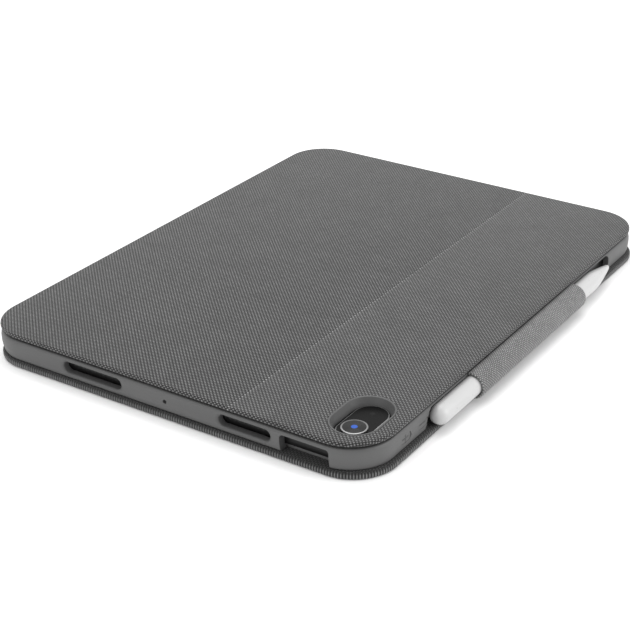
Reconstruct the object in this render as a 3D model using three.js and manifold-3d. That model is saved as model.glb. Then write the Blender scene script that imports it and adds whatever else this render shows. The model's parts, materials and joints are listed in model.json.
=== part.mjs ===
// Tablet keyboard case, closed: keyboard half below, tablet tray above, its back up.
// Millimetres. +X runs along the long edge, -Y is the front edge with the stylus flap,
// +Y is the spine, +Z is up. The origin is on the underside, at the middle of the tray.
import * as THREE from 'three';
import { mergeVertices } from 'three/addons/utils/BufferGeometryUtils.js';
import Module from 'manifold-3d';

const wasm = await Module();
wasm.setup();

// What the case holds
const TABLET_WIDTH = 247.6;
const TABLET_DEPTH = 178.5;
const TABLET_THICKNESS = 6.1;
const STYLUS_LENGTH = 166;
const STYLUS_DIAMETER = 8.9;

// Clearances
const BAY_CLEARANCE = 0.3;
const PIECE_GAP = 0.3;
const THIN_GAP = 0.1;
const STYLUS_CLEARANCE = 0.5;
const STYLUS_LIFT = 0.15;
const STYLUS_END_CLEARANCE = 2.5;
const HOLE_CLEARANCE = 0.2;
const CUT_PAST = 1;

// Tray: a soft bumper round a hard back plate
const SIDE_WALL = 3.05;
const FRONT_WALL = 2.1;
const REAR_WALL = 3.0;
const REAR_RAIL_DEPTH = 10.3;
const PANEL_OVERHANG = 0.8;
const CORNER_RADIUS = 20;
const LIP_WIDTH = 1.2;
const LIP_HEIGHT = 1.6;
const BACK_PLATE = 2.1;
const WALL_EDGE_ROUND = 0.6;
const SLOT_HEIGHT = 5;
const CAMERA_HALF_STRAIGHT = 5;
const CAMERA_RADIUS = 10.9;
const CAMERA_TRIM_WALL = 1.1;
const CAMERA_TRIM_SINK = 0.1;
const CAMERA_FROM_SIDE = 18.65;
const CAMERA_FROM_FRONT = 13.55;
const NOTCH_FROM_FRONT = 14.5;
const NOTCH_LENGTH = 22.7;
const NOTCH_ROUND = 1.5;
const FRONT_SPEAKER_FROM_FRONT = 41.9;
const FRONT_SPEAKER_LENGTH = 25;
const REAR_SPEAKER_FROM_REAR = 31;
const REAR_SPEAKER_LENGTH = 31;
const MICROPHONE_HOLE_DIAMETER = 1.6;
const MICROPHONE_FROM_MIDDLE = 4;
const PORT_LENGTH = 13;
const VOLUME_BUTTON_LENGTH = 8;
const VOLUME_BUTTON_HEIGHT = 4;
const VOLUME_UP_FROM_SIDE = 23.8;
const VOLUME_BUTTON_PITCH = 13;

// Lower half: fabric over a board, with the keyboard let into it
const COVER_THICKNESS = 3;
const COVER_SIDE_REACH = 0.3;
const COVER_FROM_STYLUS_AXIS = 0.05;
const COVER_SKIN = 0.6;
const COVER_TOP_SKIN = 0.4;
const COVER_EDGE_SKIN = 0.8;
const COVER_EDGE_ROUND = 0.5;
const COVER_BOARD_EDGE = 1.1;
const COVER_BOARD_FLOOR = 0.8;
const DECK_MARGIN = 1;
const DECK_EDGE_ROUND = 0.3;
const DECK_PLATE = 0.6;
const DECK_RISE = 1.2;
const DECK_WALL = 1;
const KEY_RISE = 0.7;
const KEY_GAP = 2;
const KEY_TRAVEL = 1;
const KEY_SIDE_MARGIN = 4.5;
const KEY_REAR_MARGIN = 6;
const SHORTCUT_ROW_SHARE = 0.6;
const WEB_THICKNESS = 0.2;
const WEB_CLEARANCE = 0.2;
const WEB_INSET = 2;
const WEB_END_INSET = 1;
const FRONT_WEB_REACH = 0.6;
const TRACKPAD_WIDTH = 104;
const TRACKPAD_DEPTH = 60;
const TRACKPAD_MARGIN = 5;
const TRACKPAD_PLATE = 0.8;

// Back: two fabric-covered panels that meet at the crease
const PANEL_THICKNESS = 1.8;
const PANEL_SKIN = 0.4;
const PANEL_EDGE_SKIN = 0.6;
const PANEL_EDGE_ROUND = 0.6;
const PANEL_BOARD_EDGE = 0.9;
const PANEL_GAP = 0.5;
const CREASE_FROM_FRONT = 64.4;
const CREASE_GAP = 2.8;
const BARREL_RADIUS = 1;
const HINGE_PIN_RADIUS = 0.5;
const HINGE_PIN_LEVEL = 0.4;
const HINGE_PIN_CLEARANCE = 0.15;
const KNUCKLE_LENGTH = 8;
const HINGE_SPREAD = 150;
const LEAF_DEPTH = 12;
const LEAF_THICKNESS = 0.5;
const LEAF_TAIL = 8;
const FIXED_LEAF_LEVEL = -1;
const MOVING_LEAF_LEVEL = -0.3;

// Spine and flap
const SPINE_BOARD = 1;
const SPINE_SKIN = 0.5;
const SPINE_BOARD_MARGIN = 0.4;
const SPINE_END_MARGIN = 3;
const FOLD_DEPTH = 0.15;
const FOLD_CLEARANCE = 0.25;
const FOLD_TONGUE = 0.6;
const FOLD_OVERLAP = 5;
const FOLD_GLUED = 4.5;
const RIBBON_HALF_WIDTH = 9;
const FLAP_LENGTH = 98;
const FLAP_THICKNESS = 0.9;
const FLAP_CENTRE = -1.1;
const STYLUS_CENTRE = 3;
const FLAP_ROOT_ANGLE = 0.07;
const FLAP_SPLIT_ANGLE = 0.03;
const FLAP_TAIL_CLEARANCE = 0.55;

// Small parts
const SCREW_RADIUS = 1.6;
const SCREW_LENGTH = 3;
const SCREW_HEAD = 0.5;
const MAGNET = [20, 4, 1.3];
const LATCH_MAGNET_X = 30;
const LATCH_FROM_BAY = 1.5;
const LATCH_POCKET_FLOOR = 0.5;
const KICKSTAND_PLATE = [20, 4.4, 0.8];
const KICKSTAND_PLATE_FROM_REAR = 11.5;
const CONTACT_HALF_WIDTH = 16;
const CONTACT_FROM_RAIL = [13, 5];
const CONTACT_PITCH = 5;
const CONTACT_RADIUS = 1.2;
const RAIL_DROP = 1;
const CLAMP_LEVEL = -0.2;
const CLAMP_THICKNESS = 1;
const CIRCUIT_BOARD_TOP = 2.4;
const CIRCUIT_BOARD_MARGIN = 2;
const CHIP_BOTTOM = 2.3;
/** Each chip as [from the board's left, from its front, width, depth, top]. */
const CHIPS = [[8, 10, 12, 12, 3.2], [30, 12, 7, 7, 3], [12, 36, 6, 10, 3.1]];
const SWITCH_HALF_WIDTH = 4;
const SWITCH_FROM_FRONT = [8, 14];
const SWITCH_TOP = 1.9;
const SWITCH_BUTTON_RADIUS = 1.8;
const SWITCH_BUTTON = [1.8, 2.2];
const CONNECTOR_HALF_WIDTH = 12;
const CONNECTOR_FROM_KEYS = [0.5, 4];
const CONNECTOR_TOP = 2.8;
const CONNECTOR_WALL = 2;
const CONNECTOR_MOUTH = [2, 2.5];

const FINISHES = {
  fabric: { color: 0x6b6b6d, roughness: 0.95, metalness: 0 },
  bumper: { color: 0x6f7072, roughness: 0.6, metalness: 0 },
  plastic: { color: 0x55565a, roughness: 0.55, metalness: 0 },
  board: { color: 0x3c3d40, roughness: 0.8, metalness: 0 },
  deck: { color: 0x5d5e61, roughness: 0.6, metalness: 0 },
  key: { color: 0x2c2d30, roughness: 0.5, metalness: 0 },
  glass: { color: 0x47484b, roughness: 0.25, metalness: 0 },
  circuit: { color: 0x1f4a35, roughness: 0.5, metalness: 0 },
  film: { color: 0x8a6a34, roughness: 0.4, metalness: 0 },
  steel: { color: 0xb9bbbe, roughness: 0.3, metalness: 1 },
};

// Levels, from the table up
const wallBottom = COVER_THICKNESS + PIECE_GAP;
const lipTop = wallBottom + LIP_HEIGHT;
const tabletFace = lipTop + PIECE_GAP;
const tabletBack = tabletFace + TABLET_THICKNESS;
const plateBottom = tabletBack + BAY_CLEARANCE;
const plateTop = plateBottom + BACK_PLATE;
const panelBottom = plateTop + PANEL_GAP;
const caseTop = panelBottom + PANEL_THICKNESS;
const deckTop = COVER_THICKNESS + DECK_RISE;
const keyTop = deckTop + KEY_RISE;
const wallMiddle = (tabletFace + tabletBack) / 2;
const coverInside = COVER_SKIN + THIN_GAP;
const boardTop = coverInside + COVER_BOARD_FLOOR;
const electronicsBottom = boardTop + 2 * THIN_GAP;

// Outlines, seen from above
const bayHalfWidth = TABLET_WIDTH / 2 + BAY_CLEARANCE;
const trayHalfWidth = bayHalfWidth + SIDE_WALL;
const caseHalfWidth = trayHalfWidth + PANEL_OVERHANG;
const trayDepth = FRONT_WALL + TABLET_DEPTH + 2 * BAY_CLEARANCE
  + PIECE_GAP + REAR_RAIL_DEPTH + PIECE_GAP + REAR_WALL;
const trayFront = -trayDepth / 2;
const trayRear = trayDepth / 2;
const caseFront = trayFront - PANEL_OVERHANG;
const caseRear = trayRear + PANEL_OVERHANG;
const tabletFront = trayFront + FRONT_WALL + BAY_CLEARANCE;
const tabletRear = tabletFront + TABLET_DEPTH;
const tabletSide = TABLET_WIDTH / 2;
const bayFront = tabletFront - BAY_CLEARANCE;
const ringRear = trayRear - REAR_WALL;
const railFront = tabletRear + BAY_CLEARANCE + PIECE_GAP;
const railRear = railFront + REAR_RAIL_DEPTH;
const trayRadius = CORNER_RADIUS - PANEL_OVERHANG;
const bayRadius = trayRadius - SIDE_WALL;
const coverHalfWidth = caseHalfWidth + COVER_SIDE_REACH;
const creaseY = caseFront + CREASE_FROM_FRONT;
const hingeZ = panelBottom + HINGE_PIN_LEVEL;
const cameraX = -tabletSide + CAMERA_FROM_SIDE;
const cameraY = tabletFront + CAMERA_FROM_FRONT;
const spineHalfLength = caseHalfWidth - CORNER_RADIUS - SPINE_END_MARGIN;
const lowerFoldZ = COVER_THICKNESS - FOLD_DEPTH;
const upperFoldZ = caseTop - lowerFoldZ;
const spineInner = caseRear + 2 * PIECE_GAP;
const spineOuter = spineInner + SPINE_BOARD + THIN_GAP + SPINE_SKIN;
const stylusRadius = STYLUS_DIAMETER / 2;
const stylusY = tabletFront - stylusRadius;
const coverFront = stylusY + COVER_FROM_STYLUS_AXIS;
const stylusZ = COVER_THICKNESS + STYLUS_LIFT + stylusRadius;

// Geometry helpers

/** A rectangle with one radius at its front corners and one at its rear corners. */
function roundedRectangle(x0, x1, y0, y1, frontRadius, rearRadius = frontRadius) {
  const outline = new THREE.Shape();
  const corners = [
    [x0, y0, frontRadius, 1, 1, Math.PI],
    [x1, y0, frontRadius, -1, 1, 1.5 * Math.PI],
    [x1, y1, rearRadius, -1, -1, 0],
    [x0, y1, rearRadius, 1, -1, 0.5 * Math.PI],
  ];
  corners.forEach(([x, y, radius, inX, inY, start], index) => {
    const first = index === 0 ? 'moveTo' : 'lineTo';
    const centre = [x + inX * radius, y + inY * radius];
    outline[first](centre[0] + radius * Math.cos(start), centre[1] + radius * Math.sin(start));
    if (radius > 0) outline.absarc(...centre, radius, start, start + Math.PI / 2, false);
  });
  outline.closePath();
  return outline;
}

/** A slot outline with round ends, longer along its first axis. */
function stadium(x, y, halfStraight, radius) {
  const outline = new THREE.Shape();
  outline.moveTo(x - halfStraight, y - radius);
  outline.lineTo(x + halfStraight, y - radius);
  outline.absarc(x + halfStraight, y, radius, -Math.PI / 2, Math.PI / 2, false);
  outline.lineTo(x - halfStraight, y + radius);
  outline.absarc(x - halfStraight, y, radius, Math.PI / 2, 1.5 * Math.PI, false);
  return outline;
}

/** A round outline. */
function circle(x, y, radius) {
  return new THREE.Shape().absarc(x, y, radius, 0, 2 * Math.PI, false);
}

/** An outline extruded up from z0 to z1, its edges rounded where round is above 0. */
function prism(outline, z0, z1, round = 0, curveSegments = 6) {
  const geometry = new THREE.ExtrudeGeometry(outline, {
    depth: z1 - z0 - 2 * round,
    bevelEnabled: round > 0,
    bevelThickness: round,
    bevelSize: round,
    bevelOffset: -round,
    bevelSegments: 2,
    curveSegments,
  });
  return geometry.translate(0, 0, z0 + round);
}

/** A block between two places on each axis. */
function box(x0, x1, y0, y1, z0, z1) {
  const geometry = new THREE.BoxGeometry(x1 - x0, y1 - y0, z1 - z0);
  return geometry.translate((x0 + x1) / 2, (y0 + y1) / 2, (z0 + z1) / 2);
}

/** A section drawn in (y, z), extruded along X from x0 to x1. */
function alongX(section, x0, x1, curveSegments = 6) {
  const geometry = prism(section, x0, x1, 0, curveSegments);
  const axes = [new THREE.Vector3(0, 1, 0), new THREE.Vector3(0, 0, 1), new THREE.Vector3(1, 0, 0)];
  return geometry.applyMatrix4(new THREE.Matrix4().makeBasis(...axes));
}

/** A section drawn in (x, z), extruded along Y from y0 to y1. */
function alongY(section, y0, y1, curveSegments = 6) {
  const geometry = prism(section, -y1, -y0, 0, curveSegments);
  const axes = [new THREE.Vector3(1, 0, 0), new THREE.Vector3(0, 0, 1), new THREE.Vector3(0, -1, 0)];
  return geometry.applyMatrix4(new THREE.Matrix4().makeBasis(...axes));
}

/** A geometry as a closed solid that can be joined and cut. */
function toSolid(geometry) {
  const bare = geometry.clone();
  bare.deleteAttribute('normal');
  bare.deleteAttribute('uv');
  const merged = mergeVertices(bare, 1e-4);
  return new wasm.Manifold(new wasm.Mesh({
    numProp: 3,
    vertProperties: new Float32Array(merged.attributes.position.array),
    triVerts: new Uint32Array(merged.index.array),
  }));
}

/** A solid back as a geometry. */
function toGeometry(solid) {
  const { vertProperties, triVerts } = solid.getMesh();
  const geometry = new THREE.BufferGeometry();
  geometry.setAttribute('position', new THREE.BufferAttribute(vertProperties, 3));
  geometry.setIndex(new THREE.BufferAttribute(triVerts, 1));
  geometry.computeVertexNormals();
  return geometry;
}

/** The first shape with the added ones joined on, less the cut ones. */
function carve(first, { add = [], cut = [] }) {
  let solid = toSolid(first);
  for (const shape of add) solid = solid.add(toSolid(shape));
  for (const shape of cut) solid = solid.subtract(toSolid(shape));
  return toGeometry(solid);
}

/** One piece of the case. */
function named(name, finish, geometry, position = [0, 0, 0]) {
  const mesh = new THREE.Mesh(geometry, new THREE.MeshStandardMaterial(FINISHES[finish]));
  mesh.name = name;
  mesh.position.set(...position);
  return mesh;
}

/** Pieces and smaller assemblies as one group. */
function assembly(...pieces) {
  const group = new THREE.Group();
  group.add(...pieces);
  return group;
}

// The keyboard half

const deckInset = LIP_WIDTH + DECK_MARGIN;
const deckHalfWidth = bayHalfWidth - deckInset;
const deckFront = bayFront + deckInset;
const deckRear = ringRear - deckInset;
const deckOutline = (inset) => roundedRectangle(
  -deckHalfWidth + inset,
  deckHalfWidth - inset,
  deckFront + inset,
  deckRear - inset,
  bayRadius - deckInset - inset,
);
const trackpadFront = deckFront + TRACKPAD_MARGIN;
const trackpadRear = trackpadFront + TRACKPAD_DEPTH;

const ROW_UNITS = 14.5;
const SHORTCUT_KEYS = 14;
/** Key widths of each row in key units, from the shortcut row at the rear to the front row. */
const KEY_ROWS = [
  Array(SHORTCUT_KEYS).fill(ROW_UNITS / SHORTCUT_KEYS),
  [...Array(13).fill(1), 1.5],
  [1.5, ...Array(13).fill(1)],
  [1.75, ...Array(11).fill(1), 1.75],
  [2.25, ...Array(10).fill(1), 2.25],
  [1, 1, 1, 1.25],
];
const FRONT_ROW_RIGHT = [1.25, 1, 1, 1, 1];
const SPACE_UNITS = 5;
const FRONT_ROW = KEY_ROWS.length - 1;
const keyPitch = (2 * (deckHalfWidth - KEY_SIDE_MARGIN)) / ROW_UNITS;
const keyAreaDepth = deckRear - KEY_REAR_MARGIN - trackpadRear - TRACKPAD_MARGIN;
const rowPitch = keyAreaDepth / (FRONT_ROW + SHORTCUT_ROW_SHARE);
const webBottom = electronicsBottom + WEB_THICKNESS + KEY_TRAVEL + WEB_CLEARANCE;

/** The outline of each key in a row: [x0, x1, y0, y1]. */
function keyOutlines(row, units, startUnit = 0) {
  const rear = deckRear - KEY_REAR_MARGIN
    - (row > 0 ? (row - 1 + SHORTCUT_ROW_SHARE) * rowPitch : 0);
  const depth = row > 0 ? rowPitch : SHORTCUT_ROW_SHARE * rowPitch;
  let x = -deckHalfWidth + KEY_SIDE_MARGIN + startUnit * keyPitch;
  return units.map((width) => {
    const left = x;
    x += width * keyPitch;
    return [left + KEY_GAP / 2, x - KEY_GAP / 2, rear - depth + KEY_GAP / 2, rear - KEY_GAP / 2];
  });
}

const sum = (values) => values.reduce((total, value) => total + value, 0);
const leftUnits = sum(KEY_ROWS[FRONT_ROW]);
const rightStart = leftUnits + SPACE_UNITS;
const spaceBarOutlines = keyOutlines(FRONT_ROW, [SPACE_UNITS], leftUnits);
const rowOutlines = KEY_ROWS.map((units, row) => keyOutlines(row, units));
rowOutlines[FRONT_ROW].push(...keyOutlines(FRONT_ROW, FRONT_ROW_RIGHT, rightStart));

/** Keycaps standing on the thin web that carries them past the ribs of the deck. */
function keyCaps(outlines) {
  const caps = outlines.map(([x0, x1, y0, y1]) => box(x0, x1, y0, y1, webBottom, keyTop));
  const [, , y0, y1] = outlines[0];
  const web = box(
    outlines[0][0] + WEB_END_INSET,
    outlines.at(-1)[1] - WEB_END_INSET,
    y0 + WEB_INSET,
    y1 - WEB_INSET,
    webBottom,
    webBottom + WEB_THICKNESS,
  );
  return carve(web, { add: caps });
}

/** The front row's web passes round the front of the space bar. */
function frontRowCaps(outlines) {
  const [x0, , y0] = outlines[0];
  const x1 = outlines.at(-1)[1];
  const [spaceLeft, spaceRight, , spaceRear] = spaceBarOutlines[0];
  const bridge = box(
    x0 + WEB_END_INSET,
    x1 - WEB_END_INSET,
    y0 - FRONT_WEB_REACH,
    y0 + WEB_INSET,
    webBottom,
    webBottom + WEB_THICKNESS,
  );
  const pocket = box(
    spaceLeft - PIECE_GAP,
    spaceRight + PIECE_GAP,
    y0 - PIECE_GAP,
    spaceRear,
    0,
    keyTop,
  );
  const caps = outlines.map(([left, right, front, rear]) => (
    box(left, right, front, rear, webBottom, keyTop)
  ));
  return carve(carve(bridge, { cut: [pocket] }), { add: caps });
}

/** The board beside the trackpad, its chips joined to it. */
function circuitBoard() {
  const left = -deckHalfWidth + DECK_WALL + MAGNET[1] + CIRCUIT_BOARD_MARGIN;
  const right = -TRACKPAD_WIDTH / 2 - 2 * CIRCUIT_BOARD_MARGIN;
  const board = box(
    left,
    right,
    trackpadFront,
    trackpadRear,
    electronicsBottom,
    CIRCUIT_BOARD_TOP,
  );
  const chips = CHIPS.map(([x, y, width, depth, top]) => box(
    left + x,
    left + x + width,
    trackpadFront + y,
    trackpadFront + y + depth,
    CHIP_BOTTOM,
    top,
  ));
  return carve(board, { add: chips });
}

/** The switch that the trackpad presses, its button joined to its case. */
function clickSwitch() {
  const [front, rear] = SWITCH_FROM_FRONT.map((place) => trackpadFront + place);
  const body = box(
    -SWITCH_HALF_WIDTH,
    SWITCH_HALF_WIDTH,
    front,
    rear,
    electronicsBottom,
    SWITCH_TOP,
  );
  const button = prism(circle(0, (front + rear) / 2, SWITCH_BUTTON_RADIUS), ...SWITCH_BUTTON);
  return carve(body, { add: [button] });
}

/** The socket behind the keys that takes the ribbon from the spine. */
function connector(keysRear) {
  const [front, rear] = CONNECTOR_FROM_KEYS.map((place) => keysRear + place);
  const inside = CONNECTOR_HALF_WIDTH - CONNECTOR_WALL;
  const shell = box(
    -CONNECTOR_HALF_WIDTH,
    CONNECTOR_HALF_WIDTH,
    front,
    rear,
    electronicsBottom,
    CONNECTOR_TOP,
  );
  const mouth = box(-inside, inside, rear - CONNECTOR_WALL, rear + CUT_PAST, ...CONNECTOR_MOUTH);
  return carve(shell, { cut: [mouth] });
}

/** The cover, the deck let into it, the keys and what lies under them. */
function keyboardHalf() {
  const coverOutline = (inset) => roundedRectangle(
    -coverHalfWidth + inset,
    coverHalfWidth - inset,
    coverFront + inset,
    caseRear - inset,
    CORNER_RADIUS - inset,
  );
  const foldTongue = box(
    -spineHalfLength,
    spineHalfLength,
    caseRear - FOLD_OVERLAP,
    spineOuter,
    0,
    lowerFoldZ - FOLD_CLEARANCE,
  );
  const coverFabric = carve(prism(coverOutline(0), 0, COVER_THICKNESS, COVER_EDGE_ROUND), {
    add: [foldTongue],
    cut: [
      prism(coverOutline(COVER_EDGE_SKIN), COVER_SKIN, COVER_THICKNESS - COVER_TOP_SKIN),
      prism(deckOutline(-PIECE_GAP), coverInside, COVER_THICKNESS + CUT_PAST),
    ],
  });
  const boardRoof = COVER_THICKNESS - COVER_TOP_SKIN - THIN_GAP;
  const coverBoard = carve(prism(coverOutline(COVER_BOARD_EDGE), coverInside, boardRoof), {
    cut: [prism(deckOutline(-PIECE_GAP), boardTop, COVER_THICKNESS)],
  });
  const keyWindows = [...rowOutlines.flat(), ...spaceBarOutlines].map(([x0, x1, y0, y1]) => (
    box(x0 - PIECE_GAP, x1 + PIECE_GAP, y0 - PIECE_GAP, y1 + PIECE_GAP, 0, keyTop)
  ));
  const trackpadWindow = box(
    -TRACKPAD_WIDTH / 2,
    TRACKPAD_WIDTH / 2,
    trackpadFront,
    trackpadRear,
    0,
    keyTop,
  );
  const deck = carve(prism(deckOutline(0), boardTop + THIN_GAP, deckTop, DECK_EDGE_ROUND), {
    cut: [prism(deckOutline(DECK_WALL), 0, deckTop - DECK_PLATE), ...keyWindows, trackpadWindow],
  });
  const membraneFront = trackpadRear + TRACKPAD_MARGIN;
  const membraneRear = deckRear - KEY_REAR_MARGIN;
  const membraneHalf = deckHalfWidth - KEY_SIDE_MARGIN;
  const membraneOutline = roundedRectangle(
    -membraneHalf,
    membraneHalf,
    membraneFront,
    membraneRear,
    0,
    bayRadius - deckInset - KEY_SIDE_MARGIN,
  );
  const membraneTop = electronicsBottom + WEB_THICKNESS;
  const membrane = prism(membraneOutline, electronicsBottom, membraneTop);
  const magnet = new THREE.BoxGeometry(MAGNET[1], MAGNET[0], MAGNET[2]);
  const magnetX = deckHalfWidth - DECK_WALL - MAGNET[1] / 2 - 2 * PIECE_GAP;
  const magnetPlace = [trackpadFront + TRACKPAD_DEPTH / 2, electronicsBottom + MAGNET[2] / 2];
  const trackpad = roundedRectangle(
    -TRACKPAD_WIDTH / 2 + PIECE_GAP,
    TRACKPAD_WIDTH / 2 - PIECE_GAP,
    trackpadFront + PIECE_GAP,
    trackpadRear - PIECE_GAP,
    0,
  );
  const trackpadPlateBottom = deckTop - TRACKPAD_PLATE;
  const trackpadBoardTop = trackpadPlateBottom - THIN_GAP;
  const trackpadBoardBottom = trackpadBoardTop - TRACKPAD_PLATE;
  const rows = rowOutlines.map((outlines, row) => named(
    `key_row_${row + 1}`,
    'key',
    row < FRONT_ROW ? keyCaps(outlines) : frontRowCaps(outlines),
  ));
  return assembly(
    named('cover_fabric', 'fabric', coverFabric),
    named('cover_board', 'board', coverBoard),
    named('keyboard_deck', 'deck', deck),
    named('key_membrane', 'film', membrane),
    named('circuit_board', 'circuit', circuitBoard()),
    named('trackpad_switch', 'steel', clickSwitch()),
    named('closing_magnet_left', 'steel', magnet, [-magnetX, ...magnetPlace]),
    named('closing_magnet_right', 'steel', magnet, [magnetX, ...magnetPlace]),
    named('flex_connector', 'plastic', connector(membraneRear)),
    ...rows,
    named('space_bar', 'key', keyCaps(spaceBarOutlines)),
    named('trackpad_surface', 'glass', prism(trackpad, trackpadPlateBottom, deckTop)),
    named('trackpad_board', 'circuit', prism(trackpad, trackpadBoardBottom, trackpadBoardTop)),
  );
}

// The spine

/** The strip between the two folds, with the ribbon that runs inside it. */
function spine() {
  const low = lowerFoldZ + FOLD_CLEARANCE;
  const high = upperFoldZ - FOLD_CLEARANCE;
  const boardEnd = spineHalfLength - 1;
  const boardRear = spineInner + SPINE_BOARD;
  const boardLow = low + SPINE_BOARD_MARGIN;
  const boardHigh = high - SPINE_BOARD_MARGIN;
  const board = box(-boardEnd, boardEnd, spineInner, boardRear, boardLow, boardHigh);
  const skinFront = spineOuter - SPINE_SKIN;
  const skin = box(-spineHalfLength, spineHalfLength, skinFront, spineOuter, low, high);
  const ribbon = box(
    -RIBBON_HALF_WIDTH,
    RIBBON_HALF_WIDTH,
    spineInner - 4 * THIN_GAP,
    spineInner - THIN_GAP,
    low + 2 * THIN_GAP,
    high - 6 * THIN_GAP,
  );
  return assembly(
    named('spine_board', 'board', board),
    named('spine_fabric', 'fabric', skin),
    named('spine_ribbon', 'film', ribbon),
  );
}

// The tray

/** Holes through the side walls, as [section in (y, z), which side]. */
function sideHoles() {
  const slot = (y0, length) => stadium(
    y0 + length / 2,
    wallMiddle,
    (length - SLOT_HEIGHT) / 2,
    SLOT_HEIGHT / 2,
  );
  const rearSpeakerFront = tabletRear - REAR_SPEAKER_FROM_REAR - REAR_SPEAKER_LENGTH;
  const frontSpeaker = slot(tabletFront + FRONT_SPEAKER_FROM_FRONT, FRONT_SPEAKER_LENGTH);
  const rearSpeaker = slot(rearSpeakerFront, REAR_SPEAKER_LENGTH);
  const middle = (tabletFront + tabletRear) / 2;
  const notch = roundedRectangle(
    tabletFront + NOTCH_FROM_FRONT,
    tabletFront + NOTCH_FROM_FRONT + NOTCH_LENGTH,
    0,
    tabletBack,
    0,
    NOTCH_ROUND,
  );
  const microphone = circle(
    middle + MICROPHONE_FROM_MIDDLE,
    wallMiddle,
    MICROPHONE_HOLE_DIAMETER / 2,
  );
  return [
    [frontSpeaker, -1],
    [rearSpeaker, -1],
    [microphone, -1],
    [notch, -1],
    [frontSpeaker, 1],
    [rearSpeaker, 1],
    [slot(middle - PORT_LENGTH / 2, PORT_LENGTH), 1],
  ];
}

/** Where each volume button stands along the front wall. */
function volumeButtonX(index) {
  return -tabletSide + VOLUME_UP_FROM_SIDE + index * VOLUME_BUTTON_PITCH;
}

/** The soft wall round the tablet with its lip, holes, notch and stylus slot. */
function bumper() {
  const ring = prism(
    roundedRectangle(-trayHalfWidth, trayHalfWidth, trayFront, trayRear, trayRadius),
    wallBottom,
    plateTop,
    WALL_EDGE_ROUND,
    8,
  );
  const bay = roundedRectangle(-bayHalfWidth, bayHalfWidth, bayFront, ringRear, bayRadius);
  const mouth = roundedRectangle(
    -bayHalfWidth + LIP_WIDTH,
    bayHalfWidth - LIP_WIDTH,
    bayFront + LIP_WIDTH,
    ringRear - LIP_WIDTH,
    bayRadius - LIP_WIDTH,
  );
  const holes = sideHoles().map(([section, side]) => alongX(
    section,
    side < 0 ? -trayHalfWidth - CUT_PAST : bayHalfWidth - LIP_WIDTH - CUT_PAST,
    side < 0 ? -bayHalfWidth + LIP_WIDTH + CUT_PAST : trayHalfWidth + CUT_PAST,
  ));
  const stylusHalf = STYLUS_LENGTH / 2 + STYLUS_END_CLEARANCE;
  const stylusSlot = box(
    STYLUS_CENTRE - stylusHalf,
    STYLUS_CENTRE + stylusHalf,
    trayFront - CUT_PAST,
    bayFront + LIP_WIDTH + CUT_PAST,
    0,
    stylusZ + stylusRadius + HOLE_CLEARANCE,
  );
  const buttonHoles = [0, 1].map((index) => alongY(
    stadium(
      volumeButtonX(index),
      wallMiddle,
      (VOLUME_BUTTON_LENGTH - VOLUME_BUTTON_HEIGHT) / 2 + PIECE_GAP,
      VOLUME_BUTTON_HEIGHT / 2 + PIECE_GAP,
    ),
    trayFront - CUT_PAST,
    bayFront + CUT_PAST,
  ));
  const inside = [
    prism(bay, lipTop, plateTop + CUT_PAST),
    prism(mouth, 0, plateTop + CUT_PAST),
  ];
  return carve(ring, { cut: [...inside, ...holes, stylusSlot, ...buttonHoles] });
}

/** Hinge pieces stand at the crease, on both sides of the middle. */
const hingePlaces = [['left', -HINGE_SPREAD / 2], ['right', HINGE_SPREAD / 2]];

/** The hard plate behind the tablet, with the rail along its rear edge. */
function backPlate() {
  const outline = roundedRectangle(
    -bayHalfWidth + PIECE_GAP,
    bayHalfWidth - PIECE_GAP,
    bayFront + PIECE_GAP,
    railRear,
    bayRadius - PIECE_GAP,
  );
  const railHalf = bayHalfWidth - bayRadius;
  const magnetPockets = [-LATCH_MAGNET_X, LATCH_MAGNET_X].map((x) => box(
    x - MAGNET[0] / 2 - PIECE_GAP,
    x + MAGNET[0] / 2 + PIECE_GAP,
    bayFront + LATCH_FROM_BAY,
    bayFront + LATCH_FROM_BAY + MAGNET[1] + 2 * PIECE_GAP,
    plateBottom + LATCH_POCKET_FLOOR,
    plateTop + CUT_PAST,
  ));
  const leafPockets = hingePlaces.map(([, x]) => box(
    x - 1.5 * KNUCKLE_LENGTH - 1,
    x + 1.5 * KNUCKLE_LENGTH + 1,
    creaseY - LEAF_DEPTH - PIECE_GAP,
    creaseY + BARREL_RADIUS + PIECE_GAP,
    hingeZ - BARREL_RADIUS - PIECE_GAP,
    plateTop + CUT_PAST,
  ));
  const rail = box(
    -railHalf,
    railHalf,
    railFront,
    railRear,
    tabletFace + RAIL_DROP,
    plateBottom + BACK_PLATE / 4,
  );
  const [contactFront, contactRear] = CONTACT_FROM_RAIL.map((place) => railFront - place);
  const contactWindow = box(
    -CONTACT_HALF_WIDTH,
    CONTACT_HALF_WIDTH,
    contactFront,
    contactRear,
    0,
    plateTop + CUT_PAST,
  );
  return carve(prism(outline, plateBottom, plateTop), {
    add: [rail],
    cut: [
      prism(stadium(cameraX, cameraY, CAMERA_HALF_STRAIGHT, CAMERA_RADIUS), 0, caseTop),
      ...magnetPockets,
      ...leafPockets,
      contactWindow,
      ...screwHoles(plateBottom - 2),
    ],
  });
}

/** The clamp's screws share the rail out evenly. */
function screwPlaces() {
  const y = (railFront + railRear) / 2;
  return [-0.75, -0.25, 0.25, 0.75].map((share) => [share * spineHalfLength, y]);
}

/** The screws' holes, from the underside up to a level. */
function screwHoles(top) {
  const radius = SCREW_RADIUS / 2 + HOLE_CLEARANCE;
  return screwPlaces().map(([x, y]) => prism(circle(x, y, radius), 0, top));
}

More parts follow.
